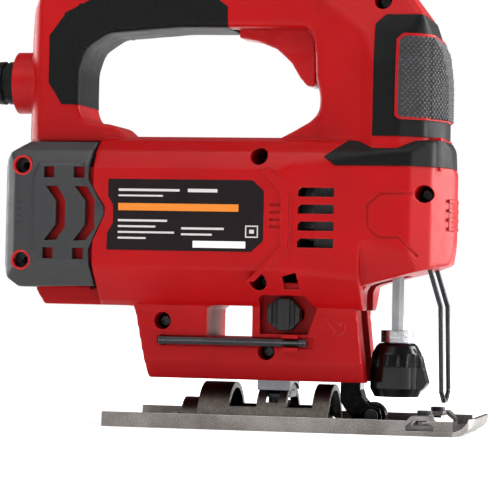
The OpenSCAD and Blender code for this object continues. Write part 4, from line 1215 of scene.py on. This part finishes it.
@dataclass
class PowerCord:
    """The lead: boot, route to the floor, stored coil, plug. It is one length of jacketed cord."""

    palette: Palette
    diameter: float = 7.4
    boot_x: float = -92.6
    boot_length: float = 46.6
    height: float = 145.0
    coil: tuple = (-172.0, 18.5)
    coil_radius: float = 38.0
    plug_at: tuple = (31.0, 3.3, 8.0)
    steps_a_turn: int = 40
    stored_turns: float = 6.12
    crossing: float = 0.2

    def route(self) -> list:
        """The route's fixed points from the boot to the coil, as the CAD source has them.

        Returns:
            The points in millimetres.
        """
        tip, low = self.boot_x - self.boot_length, self.diameter / 2
        return [
            (tip, 0, self.height), (-156, -0.2, 144.3), (-176, -2, 139), (-195, -6, 126), (-209, -12, 106),
            (-218, -19, 82), (-222, -24, 57), (-222, -23.5, 34), (-219.5, -15, 16.5), (-216, -1, low + 2.9),
            (self.coil[0] - self.coil_radius - low, self.coil[1], low),
        ]

    @staticmethod
    def smooth(points: list, count: int) -> list:
        """Points along a Catmull-Rom curve.

        Args:
            points: The fixed points.
            count: How many pieces each stretch gets.

        Returns:
            The points, the last fixed one included.
        """
        made = []
        p = [Vector(v) for v in points]
        for i in range(len(p) - 1):
            a, b, c, d = p[max(i - 1, 0)], p[i], p[i + 1], p[min(i + 2, len(p) - 1)]
            for k in range(count):
                t = k / count
                made.append(0.5 * (2 * b + (c - a) * t + (2 * a - 5 * b + 4 * c - d) * t * t
                                   + (3 * b - a - 3 * c + d) * t ** 3))
        return made + [p[-1]]

    def turns(self) -> list:
        """The coil's turns: two side by side, three high, each passing smoothly into the next.

        Returns:
            The points in millimetres.
        """
        d, r = self.diameter, self.coil_radius
        outer, inner = r + d / 2, r - d / 2
        lanes = [(outer, 0.5), (inner, 0.5), (inner, 1.5), (outer, 1.5), (outer, 2.5), (inner, 2.5),
                 (inner, 3.5)]
        made = []
        for i in range(1, int(self.stored_turns * self.steps_a_turn)):
            turn = i / self.steps_a_turn
            lane = int(turn)
            near, far = lanes[lane], lanes[min(lane + 1, len(lanes) - 1)]
            mix = np.clip((turn - lane - (1 - self.crossing)) / self.crossing, 0, 1)
            mix = mix * mix * (3 - 2 * mix)
            radius = near[0] + (far[0] - near[0]) * mix
            level = (near[1] + (far[1] - near[1]) * mix) * d
            angle = math.pi - 2 * math.pi * turn
            x, y = self.coil[0] + radius * math.cos(angle), self.coil[1] + radius * math.sin(angle)
            made.append(Vector((x, y, level)))
        return made

    def tail(self, last: Vector) -> list:
        """From the coil's top turn over to the plug that lies on it.

        Args:
            last: The last point of the turns.

        Returns:
            The points after it.
        """
        low, inner = self.diameter / 2, self.coil_radius - self.diameter / 2
        top = Vector((*self.coil, 3 * self.diameter))
        path = [(-0.5 * inner, 29.7, low + 0.1), (0, inner, low + 0.7), (15.5, 30, 5.6), (26.8, 18.8, 7.2),
                self.plug_at]
        return self.smooth([last] + [top + Vector(p) for p in path], 6)[1:]

    def lead(self) -> None:
        """Make the cord as one open curve.
        """
        turns = self.turns()
        points = self.smooth(self.route(), 6) + turns + self.tail(turns[-1])
        curve = bpy.data.curves.new("power_cord", "CURVE")
        curve.dimensions = "3D"
        spline = curve.splines.new("POLY")
        spline.points.add(len(points) - 1)
        spline.points.foreach_set("co", [c for p in points for c in (*(p * MM), 1.0)])
        curve.bevel_depth, curve.bevel_resolution, curve.use_fill_caps = self.diameter / 2 * MM, 4, True
        cord = link(bpy.data.objects.new("power_cord", curve))
        finish_piece(cord, self.palette, CORD_PVC, "body", "cord_rubber", "cord", "cord_coil", "cord_tail")

    def boot(self) -> bpy.types.Object:
        """The tapered strain relief: a collar, then ribs cut by slots, which let the real boot bend; this
        piece stays rigid.

        Returns:
            The piece.
        """
        low = self.diameter / 2
        profile = [(0.01, -2.1), (10.3, -2.1), (10.3, 0.0), (8.5, 0.2), (8.5, 10.0), (9.0, 10.6), (9.3, 11.4)]
        start, end, count = 12.0, self.boot_length - 1.5, 7
        for i in range(count):
            a = start + (end - start) * i / count
            b = start + (end - start) * (i + 0.62) / count
            wide = 9.3 - (9.3 - low - 1.5) * max(0.0, (a - 17) / (end - 17))
            narrow = wide - min(1.4, wide - low - 0.7)
            gap_end = b + (end - start) * 0.36 / count
            profile += [(wide, a), (wide - 0.15, b - 0.3), (narrow, b), (narrow, gap_end)]
        profile += [(low + 1.3, end), (low + 0.9, self.boot_length), (0.01, self.boot_length)]
        boot = turned_part("strain_relief_boot", profile, 48)
        place = Matrix.Translation(Vector((self.boot_x, 0, self.height)) * MM)
        boot.data.transform(place @ Matrix.Rotation(-math.pi / 2, 4, "Y"))
        shade(boot, 35)
        return boot

    def plug(self) -> bpy.types.Object:
        """The moulded plug, with finger grips and a ribbed neck, lying on the coil.

        Returns:
            The piece.
        """
        section = [(-9, -8), (9, -8), (12, -4), (12, 4), (9, 8), (-9, 8), (-12, 4), (-12, -4)]
        body = prism(section, Axis.X, -40, -14)
        profile = [(0.01, 0), (5.2, 0), (5.2, 1), (4.2, 1.4), (4.2, 3.4), (5.3, 3.8), (5.3, 6), (4.3, 6.4),
                   (4.3, 8.4), (5.3, 8.8), (5.3, 11), (4.6, 11.4), (4.6, 18), (0.01, 18)]
        neck = turned_part("neck", profile, 32)
        neck.data.transform(Matrix.Rotation(-math.pi / 2, 4, "Y"))
        combine(body, neck, "UNION")
        for i in range(4):
            for side in (-1, 1):
                groove = [(side * 10.6, -5), (side * 13, -5), (side * 13, 5), (side * 10.6, 5)]
                combine(body, prism(groove, Axis.X, i * 3.6 - 33, i * 3.6 - 31.6), "DIFFERENCE")
        body.name = "mains_plug_body"
        soften(body, 0.55, 3)
        place = Vector((*self.coil, 3 * self.diameter)) + Vector(self.plug_at)
        body.data.transform(Matrix.Translation(place * MM) @ Matrix.Rotation(math.pi / 2, 4, "Z"))
        shade(body, 60)
        return body

    def build(self, frame: dict) -> None:
        """Make the boot, the plug and the cord.
        """
        finish_piece(self.boot(), self.palette, BLACK_RUBBER, "body", "cord_rubber", "strain_relief")
        plug = self.plug()
        finish_piece(plug, self.palette, CORD_PVC, "body", "cord_rubber", "plug")
        self.palette.dress(frame["nodes"]["plug_pins"], BRASS)
        self.lead()


@dataclass
class Housing:
    """The clamshell, its rear cap, the overmoulded rubbers and the label."""

    palette: Palette
    forms: ShellForms
    skin_inset: float = -0.12
    panel_rise: float = 1.1
    panel_slope: float = 1.8
    panel_steps: int = 6
    # The corner pocket between the shelf and the barrel that is filled
    pocket_x: tuple = (-67.0, -58.0)
    pocket_y: tuple = (13.2, 15.86)
    pocket_z: tuple = (50.14, 56.8)
    # The front pad's diamonds: the axis that they stand round, their rows and their steps
    knurl_axis: float = 58.0
    knurl_foot: float = 129.4
    knurl_margin: float = 0.6
    knurl_height: float = 34.0
    knurl_pitch: float = 2.3
    knurl_step_deg: float = 4.4
    knurl_from: float = 66.8
    # The rear grip's domes: the first one's X and Z, and the pitches along X and Z
    dome_start: tuple = (-78, 137)
    dome_pitch: tuple = (4.2, 3.6)
    dome_count: tuple = (16, 12)
    # The cap's openings: the X of the chevrons' middles, and the corners and side of the square ones
    chevron_x: tuple = (-77.7, -65.1)
    square_x: tuple = (-81.1, -68.3)
    square_z: tuple = (69, 102.8)
    square_side: tuple = (4.5, 4.7)

    def extras(self, side: float) -> list:
        """The CAD's raised details that stand outside the softened skin.

        Args:
            side: -1 for the right half, 1 for the left.

        Returns:
            Blocks that each hold one detail.
        """
        w, n = self.forms.half_barrel, self.forms.nose
        # The raised border at the front of the label
        border = [(11.2, 107.4), (14.4, 108.2), (23.6, 100.2), (23.4, 74.8), (9.2, 60.4), (5.4, 60.4),
                  (5.4, 61.4), (19.0, 76.2), (18.8, 98.4)]
        low, high = sorted((side * (w - 2), side * (w + 1)))
        made = [prism(border, Axis.Y, low, high)]
        # The tongues behind the cap's intake slots
        low, high = sorted((side * (w - 6), side * (w - 3)))
        made.append(prism([(-84.5, 68), (-50, 68), (-50, 108), (-84.5, 108)], Axis.Y, low, high))
        # The ribs that hold the hex key
        if side < 0:
            made.append(prism([(18.2, 31.8), (25.8, 31.8), (25.8, 40.2), (18.2, 40.2)], Axis.Y, -23, -15))
        # The nose ribs
        low, high = sorted((0.0, side * 20))
        made.append(prism([(n - 2, 83.5), (n + 1, 83.5), (n + 1, 97), (n - 2, 97)], Axis.Y, low, high))
        # The cord collar
        angles = np.linspace(0, 2 * math.pi, 65)[:-1]
        collar = [(13.3 * math.cos(a), 145 + 13.3 * math.sin(a)) for a in angles]
        made.append(prism(collar, Axis.X, -103.2, -92))
        return made

    def half(self, frame: dict, node: str, side: float, skin: bpy.types.Object) -> None:
        """Make one half of the clamshell.

        Args:
            node: The CAD node.
            side: -1 for the right half, 1 for the left.
            skin: The softened solid.
        """
        mould = grown(skin, self.skin_inset)
        for detail in self.extras(side):
            combine(mould, detail, "UNION")
        half = combine(copy_of(frame, node, f"{node}_shell"), mould, "INTERSECT")
        (x0, x1), (z0, z1) = self.pocket_x, self.pocket_z
        low, high = sorted(side * y for y in self.pocket_y)
        combine(half, prism([(x0, z0), (x1, z0), (x1, z1), (x0, z1)], Axis.Y, low, high), "UNION")
        shade(half, 38)
        finish_piece(half, self.palette, RED_SHELL, "body", "red_plastic", node)

    def overlay(
        self, frame: dict, node: str, finish: Finish, slot: str, skin: bpy.types.Object, by_mm: float
    ) -> bpy.types.Object:
        """Make one overmould by trimming its CAD solid with the skin moved outwards.

        Args:
            node: The CAD node.
            finish: Its finish.
            slot: The record's material slot.
            skin: The softened solid.
            by_mm: How far it stands outside the skin.

        Returns:
            The piece.
        """
        mould = grown(skin, by_mm)
        piece = combine(copy_of(frame, node, f"{node}_skin"), mould, "INTERSECT")
        shade(piece, 40)
        finish_piece(piece, self.palette, finish, "body", slot, node)
        return piece

    def knurl(self, pad: bpy.types.Object) -> None:
        """Cover the front pad with small diamond pyramids.

        Args:
            pad: The pad that they stand on.
        """
        shape = BVHTree.FromObject(pad, bpy.context.evaluated_depsgraph_get())
        spots, turns = [], []
        for row in range(int(self.knurl_height / self.knurl_pitch * 2)):
            z = self.knurl_foot + row * self.knurl_pitch / 2 + self.knurl_margin
            for step in range(-40, 41):
                bearing = math.radians((step + 0.5 * (row % 2)) * self.knurl_step_deg)
                way = Vector((math.cos(bearing), math.sin(bearing), 0))
                start = (Vector((self.knurl_axis, 0, z)) + way * PAST_SIDES) * MM
                spot, normal, _, _ = shape.ray_cast(start, -way)
                if spot is None or spot.x < self.knurl_from * MM:
                    continue
                if abs(normal.z) > 0.3 or normal.dot(way) < 0.3:
                    continue
                spots.append(spot - normal * 0.1 * MM)
                turns.append(aim(normal))
        profile = [(0.01, -0.2), (0.98, -0.2), (0.98, 0.1), (0.42, 0.52), (0.01, 0.52)]
        diamond = turned_part("diamond", profile, 4)
        studs = PlacedParts("front_pad_knurl", diamond, spots, turns).build(self.palette.get(PAD_RUBBER))
        shade(studs, 20)
        finish_piece(studs, self.palette, PAD_RUBBER, "body", "pad_rubber")

    def grips(self, rubber: bpy.types.Object) -> None:
        """Rows of low domes on both sides of the rear grip.

        Args:
            rubber: The overmould that they stand on.
        """
        shape = BVHTree.FromObject(rubber, bpy.context.evaluated_depsgraph_get())
        spots, turns = [], []
        (x0, z0), (along, up), (columns, rows) = self.dome_start, self.dome_pitch, self.dome_count
        for row in range(rows):
            for column in range(columns):
                x, z = x0 + column * along + along / 2 * (row % 2), z0 + row * up
                for side in (-1, 1):
                    start = Vector((x, side * 40, z)) * MM
                    spot, normal, _, _ = shape.ray_cast(start, Vector((0, -side, 0)))
                    if spot is None or abs(spot.y) < 15.6 * MM:
                        continue
                    spots.append(spot - normal * 0.1 * MM)
                    turns.append(aim(normal))
        dome = turned_part("dome", [(0.01, -0.2), (1.1, -0.2), (1.0, 0.08), (0.6, 0.26), (0.01, 0.3)], 10)
        domes = PlacedParts("grip_domes", dome, spots, turns).build(self.palette.get(BLACK_RUBBER))
        shade(domes, 50)
        finish_piece(domes, self.palette, BLACK_RUBBER, "body", "black_rubber")

    def cap_panels(self, cap: bpy.types.Object) -> None:
        """Add the raised panel round the intake slots to both sides of the rear cap.

        Args:
            cap: The cap, which takes the panels.
        """
        w = self.forms.half_barrel
        panel = [(-86.8, 71.5), (-84.4, 66.2), (-63.9, 66.2), (-63.4, 73.4), (-56.2, 87.0), (-56.2, 91.0),
                 (-64.2, 102.8), (-63.6, 109.8), (-83.8, 109.8), (-86.6, 104.4)]
        chevron = [(-2.6, 99.4), (2.6, 99.4), (6.2, 93.8), (6.2, 82.5), (2.5, 76.9), (-3, 76.6), (2, 83.3),
                   (2, 93.3)]
        wide, high_side = self.square_side
        for side in (-1, 1):
            form = None
            for step in range(1, self.panel_steps + 1):
                rise = self.panel_rise * step / self.panel_steps
                low, high = sorted((side * (w - 1.0), side * (w + rise)))
                layer = prism(inset(panel, self.panel_slope * step / self.panel_steps), Axis.Y, low, high)
                form = layer if form is None else combine(form, layer, "UNION")
            soften(form, 0.3, 4)
            holes = [[(x + dx, z) for dx, z in chevron] for x in self.chevron_x]
            holes += [
                [(x, z), (x + wide, z), (x + wide, z + high_side), (x, z + high_side)]
                for x in self.square_x for z in self.square_z
            ]
            for hole in holes:
                combine(form, prism(hole, Axis.Y, -PAST_SIDES, PAST_SIDES), "DIFFERENCE")
            combine(cap, form, "UNION")

    def build(self, frame: dict) -> None:
        """Make every piece of the housing.
        """
        skin = self.forms.skin()
        self.half(frame, "housing_right", -1.0, skin)
        self.half(frame, "housing_left", 1.0, skin)
        cap_form = self.forms.cap()
        cap = combine(copy_of(frame, "rear_cap", "rear_cap_shell"), grown(cap_form, -0.1), "INTERSECT")
        self.cap_panels(cap)
        shade(cap, 40)
        finish_piece(cap, self.palette, CHARCOAL, "body", "charcoal_plastic", "rear_cap")
        self.overlay(frame, "front_band", BLACK_RUBBER, "black_rubber", skin, 0.3)
        self.overlay(frame, "front_panel", BLACK_RUBBER, "black_rubber", skin, 0.3)
        self.overlay(frame, "pad_trim", RED_SHELL, "red_plastic", skin, 1.0)
        pad = self.overlay(frame, "front_pad", PAD_RUBBER, "pad_rubber", skin, 1.0)
        grip = self.overlay(frame, "grip_rubber", BLACK_RUBBER, "black_rubber", skin, 0.1)
        self.overlay(frame, "top_rubber", BLACK_RUBBER, "black_rubber", skin, 0.3)
        self.knurl(pad)
        self.grips(grip)
        self.palette.dress(frame["nodes"]["rating_label"], LABEL_FILM)
        self.palette.dress(frame["nodes"]["cap_bosses"], RED_GLOSS)
        drop(skin, cap_form)


@dataclass
class Fasteners:
    """The housing screws and the hump's rivets, set by Geometry Nodes."""

    palette: Palette
    seat_y: float = -9.5
    screws: tuple = (
        (-33.1, 44.1), (11.5, 32.3), (9.7, 61.2), (9.6, 112.6), (77, 98.3), (-76, 184), (58, 178),
    )
    rivets: tuple = ((-31, -6), (-31, 6), (-10, -12), (-10, 12), (33.5, -12), (33.5, 12))
    sheet: float = 2.0

    def screw(self) -> bpy.types.Object:
        """One pan-head screw with a six-lobed socket, its head towards +Z.

        Returns:
            The screw.
        """
        profile = [(0.01, -22.4), (1.1, -22.4), (1.55, -20.8), (1.55, 0.0), (3.3, 0.0), (3.38, 0.7),
                   (3.1, 1.7), (2.3, 2.35), (1.9, 2.5), (0.01, 2.5)]
        head = turned_part("screw", profile, 28)
        lobes = []
        for angle in (2 * math.pi * i / 36 for i in range(36)):
            reach = 1.45 + 0.28 * math.cos(6 * angle)
            lobes.append((reach * math.cos(angle), reach * math.sin(angle)))
        return combine(head, prism(lobes, Axis.Z, 1.1, 4.0), "DIFFERENCE")

    def build(self) -> None:
        """Set the screws and the rivets."""
        spots = [Vector((x, self.seat_y, z)) * MM for x, z in self.screws]
        turns = [aim(Vector((0, -1, 0)), 0.35 * i) for i in range(len(spots))]
        placed = PlacedParts("housing_screw_set", self.screw(), spots, turns)
        screws = placed.build(self.palette.get(SCREW_STEEL))
        shade(screws, 35)
        finish_piece(screws, self.palette, SCREW_STEEL, "body", "core_steel", "housing_screws")
        profile = [(0.01, -3.8), (1.45, -3.8), (1.45, 0.0), (2.58, 0.0), (2.5, 0.45), (2.0, 0.9), (1.1, 1.15),
                   (0.01, 1.18)]
        dome = turned_part("rivet", profile, 28)
        spots = [Vector((x, y, 2 * self.sheet)) * MM for x, y in self.rivets]
        turns = [aim(Vector((0, 0, 1)))] * len(spots)
        rivets = PlacedParts("foot_rivet_set", dome, spots, turns).build(self.palette.get(BRIGHT_STEEL))
        shade(rivets, 35)
        finish_piece(rivets, self.palette, BRIGHT_STEEL, "foot", "bright_steel", "foot_rivets")


@dataclass
class Controls:
    """The trigger, the buttons, the selector and the plain symbol beside the blower knob."""

    palette: Palette
    line_mm: float = 0.45
    symbol_y: tuple = (-18.15, -17.2)
    voxel: float = 0.45

    def soft_copy(
        self, frame: dict, node: str, body: str, slot: str, finish: Finish, rounds: int = 3
    ) -> None:
        """Replace a moulded CAD node by a copy with moulded radii.

        Args:
            node: The CAD node.
            body: The CAD body that it rides on.
            slot: The record's material slot.
            finish: Its finish.
            rounds: How often the copy is relaxed.
        """
        copy = copy_of(frame, node, f"{node}_moulding")
        soften(copy, self.voxel, rounds)
        shade(copy, 60)
        finish_piece(copy, self.palette, finish, body, slot, node)

    def blower_symbol(self) -> None:
        """A fine raised outline of a curved air jet, beside the blower knob."""
        path = [(36.4, 46.6), (38.2, 46.9), (42.9, 43.4), (42.6, 45.2), (44.9, 44.2), (44.4, 41.2),
                (42.3, 39.4), (39.6, 40.4), (40.6, 41.2), (38.9, 43.0), (36.4, 46.6)]
        whole = None
        for (x0, z0), (x1, z1) in zip(path, path[1:]):
            run = Vector((x1 - x0, 0, z1 - z0)).normalized() * self.line_mm / 2
            side = Vector((-run.z, 0, run.x))
            corners = [Vector((x0, 0, z0)) - run - side, Vector((x1, 0, z1)) + run - side,
                       Vector((x1, 0, z1)) + run + side, Vector((x0, 0, z0)) - run + side]
            form = prism([(c.x, c.z) for c in corners], Axis.Y, *self.symbol_y)
            whole = form if whole is None else combine(whole, form, "UNION")
        whole.name = "blower_symbol"
        shade(whole)
        finish_piece(whole, self.palette, RED_GLOSS, "body", "red_plastic")

    def build(self, frame: dict) -> None:
        """Make and dress the controls.
        """
        self.soft_copy(frame, "trigger", "trigger", "red_plastic", RED_GLOSS, 4)
        self.soft_copy(frame, "lock_button", "lock", "black_plastic", BLACK_ACETAL)
        self.soft_copy(frame, "blower_knob", "knob", "black_plastic", KNOB_NYLON, 2)
        self.soft_copy(frame, "selector_lever", "selector", "black_plastic", BLACK_ACETAL)
        self.blower_symbol()


# Finish of each CAD node whose own shape stays
CARRIED = {
    "hex_key": BLACK_OXIDE, "speed_dial": RED_GLOSS, "trigger_pin": BRIGHT_STEEL, "dial_axle": BRIGHT_STEEL,
    "switch_body": KNOB_NYLON, "field_core": SHADED_CORE_LAMINATION, "field_windings": FIELD_WIRE,
    "armature_shaft": BRIGHT_STEEL, "armature_core": SHADED_CORE_LAMINATION, "armature_windings": ARMATURE_WIRE,
    "commutator": COMMUTATOR_COPPER, "fan": FAN_NYLON, "front_bearing": BRIGHT_STEEL,
    "rear_bearing": BRIGHT_STEEL, "brush_plate": PHENOLIC, "brushes": CARBON, "gear_housing": SHADED_DIE_CAST,
    "pinion": GEAR_STEEL, "drive_gear": GEAR_STEEL, "gear_axle": BRIGHT_STEEL, "plunger": PLUNGER_STEEL,
    "plunger_bushes": BRONZE, "roller_arm": ARM_STEEL, "arm_pin": BRIGHT_STEEL, "guide_roller": ARM_STEEL,
    "roller_pin": BLACK_OXIDE, "clamp_collar": BRIGHT_STEEL, "clamp_pin": BRIGHT_STEEL,
    "clamp_core": GEAR_STEEL, "clamp_bell": BLACK_ACETAL, "foot_plate": SOLE_STEEL,
    "foot_bracket": SHADED_BRACKET_STEEL, "bevel_seat": GEAR_STEEL, "bevel_screw": BLACK_OXIDE,
    "guide_screws": BLACK_OXIDE, "wire_guard": BLACK_OXIDE,
}


def main() -> None:
    """Build the jigsaw round its frame."""
    logging.basicConfig(level=logging.INFO, format="%(name)s: %(message)s")
    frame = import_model()
    palette = Palette()
    Studio().build()
    PowerCord(palette).build(frame)
    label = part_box("rating_label")
    forms = ShellForms(
        half_barrel=round(-label[0].y / MM, 2), half_lower=18.0, half_handle=17.0, top=121.7,
        handle_top=205.0, nose=87.7,
    )
    Housing(palette, forms).build(frame)
    Fasteners(palette).build()
    Controls(palette).build(frame)
    for node, finish in CARRIED.items():
        palette.dress(frame["nodes"][node], finish)
        LOG.info("%s keeps its CAD shape: %s", node, finish.name)


if __name__ == "__main__":
    main()
